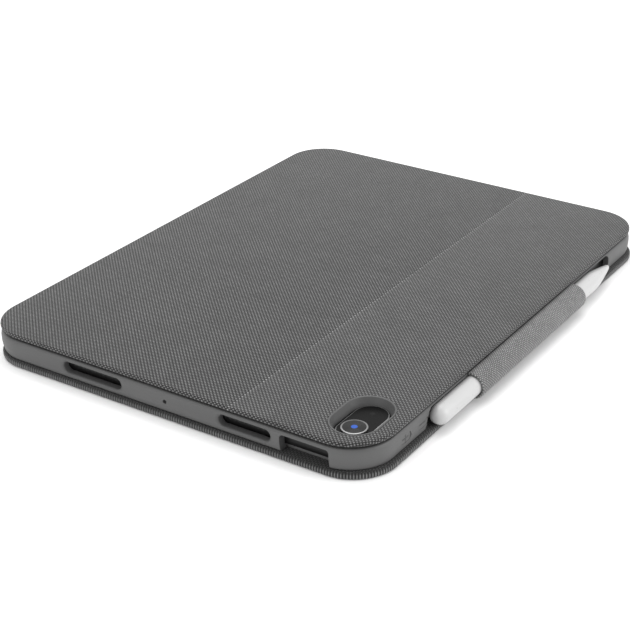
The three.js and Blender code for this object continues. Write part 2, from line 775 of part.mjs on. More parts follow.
/** Spring contacts on a carrier that fills a window of the back plate. */
function contactBlock() {
  const [front, rear] = CONTACT_FROM_RAIL.map((place) => railFront - place);
  const carrierBottom = plateBottom + 2 * THIN_GAP;
  const carrier = box(
    -CONTACT_HALF_WIDTH + PIECE_GAP,
    CONTACT_HALF_WIDTH - PIECE_GAP,
    front + PIECE_GAP,
    rear - PIECE_GAP,
    carrierBottom,
    plateTop,
  );
  const domes = [-CONTACT_PITCH, 0, CONTACT_PITCH].map((x) => prism(
    circle(x, (front + rear) / 2, CONTACT_RADIUS),
    tabletBack + THIN_GAP,
    carrierBottom + 2 * THIN_GAP,
    0,
    4,
  ));
  return carve(carrier, { add: domes });
}

/** The strip under the rail that clamps the spine's fabric. */
function spineClamp() {
  const half = bayHalfWidth - bayRadius - 1;
  const bottom = tabletFace + CLAMP_LEVEL;
  const strip = box(-half, half, railFront + 1, railRear - 1, bottom, bottom + CLAMP_THICKNESS);
  return carve(strip, { cut: screwHoles(caseTop) });
}

/** A low-headed screw, its head's underside at the origin and its shank up +Z. */
function screw() {
  const shankRadius = SCREW_RADIUS / 2;
  const profile = [
    [0, -SCREW_HEAD],
    [SCREW_RADIUS, -SCREW_HEAD],
    [SCREW_RADIUS, 0],
    [shankRadius, 0],
    [shankRadius, SCREW_LENGTH],
    [0, SCREW_LENGTH],
  ];
  const points = profile.map(([radius, height]) => new THREE.Vector2(radius, height));
  return new THREE.LatheGeometry(points, 12).rotateX(Math.PI / 2);
}

/** The sleeve that lines the camera window, with a lip that the panel's fabric meets. */
function cameraTrim() {
  const outer = CAMERA_RADIUS - PIECE_GAP;
  const ring = prism(
    stadium(cameraX, cameraY, CAMERA_HALF_STRAIGHT, outer),
    plateBottom,
    caseTop - CAMERA_TRIM_SINK,
    0.2,
  );
  const inner = prism(
    stadium(cameraX, cameraY, CAMERA_HALF_STRAIGHT, outer - CAMERA_TRIM_WALL),
    plateBottom - CUT_PAST,
    caseTop + CUT_PAST,
  );
  return carve(ring, { cut: [inner] });
}

/** Both fabric-covered panels share their levels; only the outline and the window differ. */
function panelBoard(outline, cut = []) {
  return carve(prism(outline, panelBottom, caseTop - PANEL_SKIN - THIN_GAP), { cut });
}

/** The fabric over a panel, open below. */
function panelFabric(outline, inside, cut = []) {
  return carve(prism(outline, panelBottom, caseTop, PANEL_EDGE_ROUND), {
    cut: [prism(inside, panelBottom - CUT_PAST, caseTop - PANEL_SKIN), ...cut],
  });
}

/** The panel in front of the crease. */
function frontPanelOutline(inset) {
  return roundedRectangle(
    -caseHalfWidth + inset,
    caseHalfWidth - inset,
    caseFront + inset,
    creaseY - CREASE_GAP / 2 - inset,
    CORNER_RADIUS - inset,
    0,
  );
}

/** The panel behind the crease. */
function kickstandOutline(inset) {
  return roundedRectangle(
    -caseHalfWidth + inset,
    caseHalfWidth - inset,
    creaseY + CREASE_GAP / 2 + inset,
    caseRear - inset,
    0,
    CORNER_RADIUS - inset,
  );
}

/** A hinge leaf drawn round its own pin. side is -1 to the front, 1 to the rear. */
function hingeLeaf(side, knuckleCentres) {
  const knuckle = (x) => alongX(
    circle(0, 0, BARREL_RADIUS),
    x - KNUCKLE_LENGTH / 2 + PIECE_GAP / 2,
    x + KNUCKLE_LENGTH / 2 - PIECE_GAP / 2,
  );
  const near = side > 0 ? PIECE_GAP : -LEAF_DEPTH;
  const far = side > 0 ? LEAF_DEPTH : -PIECE_GAP;
  const rise = side > 0 ? MOVING_LEAF_LEVEL : FIXED_LEAF_LEVEL;
  const plates = knuckleCentres.map((x) => box(
    x - KNUCKLE_LENGTH / 2 + PIECE_GAP / 2,
    x + KNUCKLE_LENGTH / 2 - PIECE_GAP / 2,
    near,
    far,
    rise,
    rise + LEAF_THICKNESS,
  ));
  const span = 1.5 * KNUCKLE_LENGTH - PIECE_GAP;
  const tail = box(
    -span,
    span,
    side > 0 ? LEAF_DEPTH - LEAF_TAIL : -LEAF_DEPTH,
    side > 0 ? LEAF_DEPTH : LEAF_TAIL - LEAF_DEPTH,
    rise,
    rise + LEAF_THICKNESS,
  );
  const bore = alongX(
    circle(0, 0, HINGE_PIN_RADIUS + HINGE_PIN_CLEARANCE),
    -2 * KNUCKLE_LENGTH,
    2 * KNUCKLE_LENGTH,
  );
  return carve(tail, { add: [...plates, ...knuckleCentres.map(knuckle)], cut: [bore] });
}

/** The fabric strip glued down the tray's rear wall and folded over to the spine. */
function spineFoldStrip() {
  const bottom = upperFoldZ + FOLD_CLEARANCE;
  const front = trayRear + THIN_GAP;
  const gluedRear = trayRear + PANEL_OVERHANG;
  const overlap = bottom + FOLD_TONGUE / 2;
  return carve(
    box(-spineHalfLength, spineHalfLength, front, spineOuter, bottom, bottom + FOLD_TONGUE),
    { add: [box(-spineHalfLength, spineHalfLength, front, gluedRear, overlap - FOLD_GLUED, overlap)] },
  );
}

/** The bumper, the plates and the front panel, which carry the tablet. */
function tray() {
  const windowOutline = stadium(cameraX, cameraY, CAMERA_HALF_STRAIGHT, CAMERA_RADIUS);
  const window = prism(windowOutline, 0, caseTop + CUT_PAST);
  const fixedLeaf = hingeLeaf(-1, [-KNUCKLE_LENGTH, KNUCKLE_LENGTH]);
  const pinEnd = 1.5 * KNUCKLE_LENGTH;
  const pin = alongX(circle(0, 0, HINGE_PIN_RADIUS), -pinEnd, pinEnd);
  const screwZ = tabletFace + CLAMP_LEVEL - THIN_GAP;
  const latchMagnet = new THREE.BoxGeometry(...MAGNET);
  const latchY = bayFront + LATCH_FROM_BAY + PIECE_GAP + MAGNET[1] / 2;
  const latchZ = plateBottom + LATCH_POCKET_FLOOR + THIN_GAP + MAGNET[2] / 2;
  const frontFabric = panelFabric(
    frontPanelOutline(0),
    frontPanelOutline(PANEL_EDGE_SKIN),
    [window],
  );
  return assembly(
    named('tray_bumper', 'bumper', bumper()),
    named('tray_back_plate', 'plastic', backPlate()),
    named('camera_window_trim', 'bumper', cameraTrim()),
    named('front_panel_board', 'board', panelBoard(frontPanelOutline(PANEL_BOARD_EDGE), [window])),
    named('front_panel_fabric', 'fabric', frontFabric),
    ...hingePlaces.flatMap(([side, x]) => [
      named(`hinge_leaf_fixed_${side}`, 'steel', fixedLeaf, [x, creaseY, hingeZ]),
      named(`hinge_pin_${side}`, 'steel', pin, [x, creaseY, hingeZ]),
    ]),
    named('contact_block', 'plastic', contactBlock()),
    named('spine_clamp', 'plastic', spineClamp()),
    ...screwPlaces().map(([x, y], index) => (
      named(`clamp_screw_${index + 1}`, 'steel', screw(), [x, y, screwZ])
    )),
    named('latch_magnet_left', 'steel', latchMagnet, [-LATCH_MAGNET_X, latchY, latchZ]),
    named('latch_magnet_right', 'steel', latchMagnet, [LATCH_MAGNET_X, latchY, latchZ]),
    named('spine_fold_strip', 'fabric', spineFoldStrip()),
  );
}

/** The two caps in the front wall, each over a button of the tablet. */
function volumeButtons() {
  const cap = alongY(
    stadium(0, 0, (VOLUME_BUTTON_LENGTH - VOLUME_BUTTON_HEIGHT) / 2, VOLUME_BUTTON_HEIGHT / 2),
    trayFront - PIECE_GAP,
    bayFront - PIECE_GAP,
  );
  return assembly(...['volume_up_button', 'volume_down_button'].map((name, index) => (
    named(name, 'bumper', cap, [volumeButtonX(index), 0, wallMiddle])
  )));
}

// The kickstand

/** The panel that swings out to prop the tray up, with its half of each hinge. */
function kickstand() {
  const moving = hingeLeaf(1, [0]);
  const leafPockets = hingePlaces.map(([, x]) => box(
    x - 1.5 * KNUCKLE_LENGTH - PIECE_GAP,
    x + 1.5 * KNUCKLE_LENGTH + PIECE_GAP,
    creaseY,
    creaseY + LEAF_DEPTH + PIECE_GAP,
    panelBottom - CUT_PAST,
    hingeZ + MOVING_LEAF_LEVEL + LEAF_THICKNESS + THIN_GAP,
  ));
  const [plateLength, plateDepth, plateHeight] = KICKSTAND_PLATE;
  const plateY = caseRear - KICKSTAND_PLATE_FROM_REAR;
  const plateZ = panelBottom + THIN_GAP + plateHeight / 2;
  const plate = new THREE.BoxGeometry(plateLength, plateDepth, plateHeight);
  const magnetPocket = box(
    -plateLength / 2 - PIECE_GAP,
    plateLength / 2 + PIECE_GAP,
    plateY - plateDepth / 2 - PIECE_GAP,
    plateY + plateDepth / 2 + PIECE_GAP,
    panelBottom - CUT_PAST,
    plateZ + plateHeight / 2 + THIN_GAP,
  );
  const board = panelBoard(kickstandOutline(PANEL_BOARD_EDGE), [...leafPockets, magnetPocket]);
  const fabric = panelFabric(
    kickstandOutline(0),
    kickstandOutline(PANEL_EDGE_SKIN),
    leafPockets,
  );
  return assembly(
    named('kickstand_board', 'board', board),
    named('kickstand_fabric', 'fabric', fabric),
    ...hingePlaces.map(([side, x]) => (
      named(`hinge_leaf_moving_${side}`, 'steel', moving, [x, creaseY, hingeZ])
    )),
    named('kickstand_magnet', 'steel', plate, [0, plateY, plateZ]),
  );
}

// The stylus flap

/** A band of the flap from angle a to angle b, both taken at the stylus from straight out. */
function flapBand(a, b, tail) {
  const inner = stylusRadius + STYLUS_CLEARANCE;
  const outer = inner + FLAP_THICKNESS;
  const section = new THREE.Shape();
  section.absarc(0, 0, outer, Math.PI - a, Math.PI - b, true);
  if (tail > 0) section.lineTo(tail, outer);
  if (tail > 0) section.lineTo(tail, inner);
  section.absarc(0, 0, inner, Math.PI - b, Math.PI - a, false);
  section.closePath();
  return alongX(section, FLAP_CENTRE - FLAP_LENGTH / 2, FLAP_CENTRE + FLAP_LENGTH / 2, 10);
}

/** The flap's two bands, which meet at a fold halfway up. */
function flap() {
  const place = [0, stylusY, stylusZ];
  const lower = flapBand(-Math.PI / 2 + FLAP_ROOT_ANGLE, -FLAP_SPLIT_ANGLE, 0);
  const tail = trayFront - FLAP_TAIL_CLEARANCE - stylusY;
  const upper = flapBand(FLAP_SPLIT_ANGLE, Math.PI / 2, tail);
  return assembly(
    named('flap_lower', 'fabric', lower, place),
    named('flap_upper', 'fabric', upper, place),
  );
}

export default assembly(keyboardHalf(), spine(), tray(), volumeButtons(), kickstand(), flap());
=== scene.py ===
"""A tablet keyboard case, closed, with its cloth, shells, keys and small parts dressed for a studio.

Metres throughout. +X runs along the long edge, -Y is the front edge with the stylus flap and +Z is up.
"""

import json
import logging
import math
from dataclasses import dataclass, field
from enum import Enum
from typing import Any, Callable

import bmesh
import bpy
from mathutils import Matrix, Vector
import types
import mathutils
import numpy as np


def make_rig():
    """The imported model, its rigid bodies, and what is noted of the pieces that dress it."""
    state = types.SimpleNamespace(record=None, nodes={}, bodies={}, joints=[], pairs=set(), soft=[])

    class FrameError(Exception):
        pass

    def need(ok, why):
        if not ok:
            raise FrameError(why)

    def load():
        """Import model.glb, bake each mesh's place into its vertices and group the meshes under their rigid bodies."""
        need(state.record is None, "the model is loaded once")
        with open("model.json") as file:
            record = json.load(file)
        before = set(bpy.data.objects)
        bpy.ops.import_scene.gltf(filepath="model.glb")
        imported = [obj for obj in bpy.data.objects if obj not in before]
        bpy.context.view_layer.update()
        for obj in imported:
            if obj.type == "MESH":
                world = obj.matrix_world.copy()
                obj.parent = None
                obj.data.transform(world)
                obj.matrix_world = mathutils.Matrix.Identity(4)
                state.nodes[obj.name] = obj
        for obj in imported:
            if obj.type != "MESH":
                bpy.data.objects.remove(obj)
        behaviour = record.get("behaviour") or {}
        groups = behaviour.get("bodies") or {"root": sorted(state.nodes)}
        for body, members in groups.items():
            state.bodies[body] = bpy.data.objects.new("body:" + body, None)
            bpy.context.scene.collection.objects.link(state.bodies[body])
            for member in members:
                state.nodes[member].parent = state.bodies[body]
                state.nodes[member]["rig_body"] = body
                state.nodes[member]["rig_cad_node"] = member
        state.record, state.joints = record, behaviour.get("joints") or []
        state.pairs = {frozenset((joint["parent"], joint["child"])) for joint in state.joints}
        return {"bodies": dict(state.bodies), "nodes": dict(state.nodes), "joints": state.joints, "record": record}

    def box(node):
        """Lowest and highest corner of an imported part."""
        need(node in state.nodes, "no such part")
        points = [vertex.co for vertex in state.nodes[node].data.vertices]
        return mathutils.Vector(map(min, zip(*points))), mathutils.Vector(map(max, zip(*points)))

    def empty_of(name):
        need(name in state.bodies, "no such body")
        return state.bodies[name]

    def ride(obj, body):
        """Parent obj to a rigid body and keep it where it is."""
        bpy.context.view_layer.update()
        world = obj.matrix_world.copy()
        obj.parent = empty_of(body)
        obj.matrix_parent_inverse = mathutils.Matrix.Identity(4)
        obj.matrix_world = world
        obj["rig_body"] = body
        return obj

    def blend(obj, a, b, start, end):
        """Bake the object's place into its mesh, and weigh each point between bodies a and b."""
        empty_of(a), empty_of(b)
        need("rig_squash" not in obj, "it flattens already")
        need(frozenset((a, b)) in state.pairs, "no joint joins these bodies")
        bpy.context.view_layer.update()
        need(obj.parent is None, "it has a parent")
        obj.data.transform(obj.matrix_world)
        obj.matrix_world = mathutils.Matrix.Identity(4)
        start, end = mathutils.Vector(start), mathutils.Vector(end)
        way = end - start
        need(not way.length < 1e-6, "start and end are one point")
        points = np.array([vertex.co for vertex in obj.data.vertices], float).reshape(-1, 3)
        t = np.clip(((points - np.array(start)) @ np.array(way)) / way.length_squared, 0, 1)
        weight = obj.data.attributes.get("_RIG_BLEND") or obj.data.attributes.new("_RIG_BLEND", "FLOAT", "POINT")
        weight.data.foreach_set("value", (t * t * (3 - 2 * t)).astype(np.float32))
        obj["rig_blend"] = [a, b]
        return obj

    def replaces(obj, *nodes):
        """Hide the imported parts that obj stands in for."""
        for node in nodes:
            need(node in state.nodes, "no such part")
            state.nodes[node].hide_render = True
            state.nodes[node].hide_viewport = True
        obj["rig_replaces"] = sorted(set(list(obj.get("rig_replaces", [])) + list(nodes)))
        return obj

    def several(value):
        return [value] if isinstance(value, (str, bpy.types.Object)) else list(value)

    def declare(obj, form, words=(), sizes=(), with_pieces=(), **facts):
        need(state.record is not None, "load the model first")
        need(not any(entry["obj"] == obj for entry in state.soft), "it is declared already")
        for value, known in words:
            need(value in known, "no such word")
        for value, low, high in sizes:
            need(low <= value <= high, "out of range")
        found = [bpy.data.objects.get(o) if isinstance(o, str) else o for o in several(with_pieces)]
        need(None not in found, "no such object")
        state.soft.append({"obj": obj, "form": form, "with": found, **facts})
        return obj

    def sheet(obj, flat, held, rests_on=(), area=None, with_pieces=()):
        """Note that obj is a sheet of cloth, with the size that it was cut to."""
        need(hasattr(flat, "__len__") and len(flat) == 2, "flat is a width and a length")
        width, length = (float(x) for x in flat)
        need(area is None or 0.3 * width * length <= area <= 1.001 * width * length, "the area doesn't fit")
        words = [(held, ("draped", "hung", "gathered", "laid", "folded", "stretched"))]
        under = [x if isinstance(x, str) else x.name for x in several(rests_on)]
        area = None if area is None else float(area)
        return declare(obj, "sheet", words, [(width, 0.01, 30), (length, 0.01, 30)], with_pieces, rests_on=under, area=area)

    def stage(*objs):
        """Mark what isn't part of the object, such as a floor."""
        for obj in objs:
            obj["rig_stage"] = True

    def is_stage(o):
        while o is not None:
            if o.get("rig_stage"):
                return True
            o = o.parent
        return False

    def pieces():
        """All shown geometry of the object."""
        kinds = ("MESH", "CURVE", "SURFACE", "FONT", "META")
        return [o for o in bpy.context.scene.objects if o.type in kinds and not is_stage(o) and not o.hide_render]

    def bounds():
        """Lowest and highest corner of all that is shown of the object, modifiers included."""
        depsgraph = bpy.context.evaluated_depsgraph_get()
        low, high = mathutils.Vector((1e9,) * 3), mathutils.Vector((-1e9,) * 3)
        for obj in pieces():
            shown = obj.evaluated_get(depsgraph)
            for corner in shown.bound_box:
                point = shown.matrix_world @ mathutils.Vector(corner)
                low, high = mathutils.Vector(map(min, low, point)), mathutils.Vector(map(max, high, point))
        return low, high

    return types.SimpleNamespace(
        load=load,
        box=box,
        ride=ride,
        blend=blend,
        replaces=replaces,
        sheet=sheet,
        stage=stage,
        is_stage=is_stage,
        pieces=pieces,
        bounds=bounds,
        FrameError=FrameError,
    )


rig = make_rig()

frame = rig.load()

LOG = logging.getLogger("keyboard_case")
CAD_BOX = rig.bounds()
MM = 0.001
CLOSE = 1e-6
FACING = 0.99
RIB_SHARE = 1.45
NO_CREASE = 10.0
Rule = Callable[[Vector], bool]
Laying = Callable[[Vector, Vector, Vector], tuple[float, float]]
Place = tuple[float, float, float]
Colour = tuple[float, float, float, float]


class Side(Enum):
    """A side of the case, seen from above."""

    LEFT = -1
    RIGHT = 1


class Term:
    """A shader socket that takes part in arithmetic."""

    def __init__(self, paint: "Paint", socket: bpy.types.NodeSocket) -> None:
        """Keeps the socket and the paint whose nodes it belongs to."""
        self.paint = paint
        self.socket = socket

    def _math(self, operation: str, *others: Any) -> "Term":
        """Adds a Math node.

        Args:
            operation: The Math node's operation.
            others: The other operands, terms or numbers.

        Returns:
            The node's result.
        """
        values = {index + 1: other for index, other in enumerate(others)}
        return self.paint.node("ShaderNodeMath", {"operation": operation}, {0: self, **values})

    def __add__(self, other: Any) -> "Term":
        """Returns the sum."""
        return self._math("ADD", other)

    def __radd__(self, other: float) -> "Term":
        """Returns the sum with a number in front."""
        return self._math("ADD", other)

    def __sub__(self, other: Any) -> "Term":
        """Returns the difference."""
        return self._math("SUBTRACT", other)

    def __rsub__(self, other: float) -> "Term":
        """Returns a number less this term."""
        return self.paint.node("ShaderNodeMath", {"operation": "SUBTRACT"}, {0: other, 1: self})

    def __mul__(self, other: Any) -> "Term":
        """Returns the product."""
        return self._math("MULTIPLY", other)

    def __rmul__(self, other: float) -> "Term":
        """Returns the product with a number in front."""
        return self._math("MULTIPLY", other)

    def sine(self) -> "Term":
        """Returns the sine."""
        return self._math("SINE")

    def size(self) -> "Term":
        """Returns the absolute value."""
        return self._math("ABSOLUTE")

    def floor(self) -> "Term":
        """Returns the whole part."""
        return self._math("FLOOR")

    def step(self, low: float, high: float) -> "Term":
        """Returns a smooth step from 0 at low to 1 at high."""
        settings = {"interpolation_type": "SMOOTHSTEP"}
        return self.paint.node("ShaderNodeMapRange", settings, {0: self, 1: low, 2: high})


class Paint:
    """A material under construction."""

    def __init__(self, name: str) -> None:
        """Starts an empty material of that name."""
        self.material = bpy.data.materials.new(name)
        self.material.use_nodes = True
        self.tree = self.material.node_tree
        self.tree.nodes.clear()

    def node(self, kind: str, settings: dict[str, Any], inputs: dict[Any, Any], output: Any = 0) -> Term:
        """Adds one node.

        Args:
            kind: The node's type.
            settings: Its properties.
            inputs: Values or terms for its sockets, by name or number.
            output: The output wanted, by name or number.

        Returns:
            That output as a term.
        """
        made = self.tree.nodes.new(kind)
        for key, value in settings.items():
            setattr(made, key, value)
        for key, value in inputs.items():
            if isinstance(value, Term):
                self.tree.links.new(value.socket, made.inputs[key])
            else:
                made.inputs[key].default_value = value
        return Term(self, made.outputs[output])

    def mix(self, share: Any, first: Any, second: Any) -> Term:
        """Returns the colour that lies share of the way from the first to the second."""
        return self.node("ShaderNodeMix", {"data_type": "RGBA"}, {0: share, 6: first, 7: second}, 2)

    def shade(self, colour: Any, amount: Term) -> Term:
        """Returns the colour multiplied by a grey amount."""
        level = self.node("ShaderNodeCombineColor", {}, {0: amount, 1: amount, 2: amount})
        settings = {"data_type": "RGBA", "blend_type": "MULTIPLY"}
        return self.node("ShaderNodeMix", settings, {0: 1.0, 6: colour, 7: level}, 2)

    def noise(self, place: Term, scale: float, detail: float = 2.0) -> Term:
        """Returns a noise of that scale, from 0 to 1."""
        return self.node("ShaderNodeTexNoise", {}, {"Vector": place, "Scale": scale, "Detail": detail})

    def place(self) -> Term:
        """Returns the Object coordinates."""
        return self.node("ShaderNodeTexCoord", {}, {}, "Object")

    def bump(self, height: Term, distance: float, strength: float = 1.0) -> Term:
        """Returns a normal raised by a height from 0 to 1."""
        return self.node(
            "ShaderNodeBump", {}, {"Height": height, "Distance": distance, "Strength": strength}
        )

    def surface(self, **values: Any) -> bpy.types.Material:
        """Ends the material with its surface.

        Args:
            values: Values or terms by socket name, with underscores for blanks.

        Returns:
            The material.
        """
        inputs = {key.replace("_", " "): value for key, value in values.items()}
        shader = self.node("ShaderNodeBsdfPrincipled", {}, inputs)
        self.node_output(shader)
        return self.material

    def node_output(self, shader: Term) -> None:
        """Links the shader to the material's output."""
        end = self.tree.nodes.new("ShaderNodeOutputMaterial")
        self.tree.links.new(shader.socket, end.inputs["Surface"])


def grey(value: float, tint: tuple[float, float, float] = (1, 1, 1)) -> Colour:
    """Returns a grey of that linear value, tinted."""
    return (value * tint[0], value * tint[1], value * tint[2], 1.0)


def centre(low: Place, high: Place) -> Place:
    """Returns the middle of a box."""
    return tuple((a + b) / 2 for a, b in zip(low, high))


def corners(middle: Place, half: Any) -> tuple[Place, Place]:
    """Returns the two corners of a box from its middle and half its size."""
    return tuple(m - h for m, h in zip(middle, half)), tuple(m + h for m, h in zip(middle, half))


@dataclass(frozen=True)
class WovenCloth:
    """A plain weave of light and dark threads, laid out by the piece's own map, with painted shade on the threads'
    sides and between them, and, where inner is below 1, over its top.
    """

    name: str
    thread: float = 0.9 * MM
    light: float = 0.124
    dark: float = 0.004
    relief: float = 0.22 * MM
    crease: float = NO_CREASE
    worn: float = 0.75
    # inner: the share of its tone that the cloth keeps above 2.8 mm, a painted shade over a cover's top; 1.0 paints
    # none.
    inner: float = 1.0

    def material(self) -> bpy.types.Material:
        """Returns the material."""
        paint = Paint(self.name)
        laid = paint.node("ShaderNodeUVMap", {"uv_map": "weave"}, {})
        split = paint.node("ShaderNodeSeparateXYZ", {}, {0: laid}, "X")
        across = split * (1 / self.thread)
        along = Term(paint, split.socket.node.outputs["Y"]) * (1 / self.thread)
        wave = (across * math.pi).sine() * (along * math.pi).sine()
        warp = wave.step(-0.1, 0.45)
        dome = wave.size().step(0.0, 0.7)
        warp_yarn = paint.node("ShaderNodeCombineXYZ", {}, {0: across.floor() * 7.31, 1: along * 0.16})
        weft_yarn = paint.node("ShaderNodeCombineXYZ", {}, {0: across * 0.16, 1: along.floor() * 5.77})
        streak = paint.noise(warp_yarn, 1.0, 3.0) * 0.55 + paint.noise(weft_yarn, 1.0, 3.0) * 0.45
        cells = paint.node("ShaderNodeCombineXYZ", {}, {0: across.floor(), 1: along.floor()})
        fleck = paint.node("ShaderNodeTexWhiteNoise", {"noise_dimensions": "2D"}, {0: cells})
        patch = paint.noise(paint.place(), 90.0, 3.0)
        tone = streak * 0.95 + fleck * 0.22 + patch * 0.5 + 0.1
        worn = paint.mix(warp, grey(self.dark), grey(self.light))
        pressed = 1 - (along * self.thread - self.crease).size().step(0.15 * MM, 0.75 * MM)
        # Painted shade: from 2.0 to 2.8 mm up, the cloth darkens to inner times its tone, standing for the shade under
        # the tray wall on the lower cover's top.
        height = paint.node("ShaderNodeSeparateXYZ", {}, {"Vector": paint.place()}, "Z")
        painted_top_shade = 1 - height.step(2.0 * MM, 2.8 * MM) * (1 - self.inner)
        # Painted shade: dome darkens each thread's sides and the valleys between threads, to 0.45 of the tone there
        # against 1.2 on the crowns.
        colour = paint.shade(worn, tone * (dome * 0.75 + 0.45) * (pressed * self.worn + 1) * painted_top_shade)
        fibre = paint.noise(paint.place(), 4200.0, 2.0)
        normal = paint.bump(dome * 0.85 + fibre * 0.25 + warp * 0.2, self.relief, 0.55)
        rough = fibre * 0.12 + 0.84
        return paint.surface(
            Base_Color=colour, Roughness=rough, Normal=normal, Sheen_Weight=0.18, Sheen_Roughness=0.5
        )


@dataclass(frozen=True)
class SoftPolymer:
    """A soft-touch moulded shell with a fine grain."""

    name: str
    tone: float = 0.082
    roughness: float = 0.5
    grain: float = 0.012 * MM

    def material(self) -> bpy.types.Material:
        """Returns the material."""
        paint = Paint(self.name)
        place = paint.place()
        cloud = paint.noise(place, 35.0, 4.0)
        fine = paint.noise(place, 2600.0, 2.0)
        colour = paint.mix(cloud, grey(self.tone * 0.93), grey(self.tone * 1.07))
        colour = paint.shade(colour, fine * 0.1 + 0.95)
        rough = cloud * 0.1 + (self.roughness - 0.05)
        normal = paint.bump(fine, self.grain, 0.6)
        return paint.surface(Base_Color=colour, Roughness=rough, Normal=normal, Specular_IOR_Level=0.45)


@dataclass(frozen=True)
class Moulding:
    """A plain hard moulding, board or film in one tinted tone with a fine texture."""

    name: str
    tone: float
    tint: tuple[float, float, float] = (1, 1, 1)
    roughness: float = 0.55
    metallic: float = 0.0
    spread: float = 0.12
    scale: float = 900.0
    gloss: float = 0.5

    def material(self) -> bpy.types.Material:
        """Returns the material."""
        paint = Paint(self.name)
        place = paint.place()
        cloud = paint.noise(place, 60.0, 3.0)
        fine = paint.noise(place, self.scale, 3.0)
        low, high = self.tone * (1 - self.spread), self.tone * (1 + self.spread)
        colour = paint.mix(cloud, grey(low, self.tint), grey(high, self.tint))
        rough = fine * 0.14 + (self.roughness - 0.07)
        normal = paint.bump(fine, 0.01 * MM, 0.5)
        return paint.surface(
            Base_Color=colour, Roughness=rough, Metallic=self.metallic, Normal=normal,
            Specular_IOR_Level=self.gloss,
        )


@dataclass(frozen=True)
class TurnedSteel:
    """Bright steel with fine lines along X."""

    name: str = "bright_steel"

    def material(self) -> bpy.types.Material:
        """Returns the material."""
        paint = Paint(self.name)
        lines = paint.node(
            "ShaderNodeMapping", {}, {"Vector": paint.place(), "Scale": (60.0, 3000.0, 3000.0)}
        )
        brush = paint.noise(lines, 1.0, 2.0)
        colour = paint.mix(brush, grey(0.42), grey(0.6))
        return paint.surface(
            Base_Color=colour, Roughness=brush * 0.15 + 0.24, Metallic=1.0,
            Normal=paint.bump(brush, 0.005 * MM, 0.4),
        )


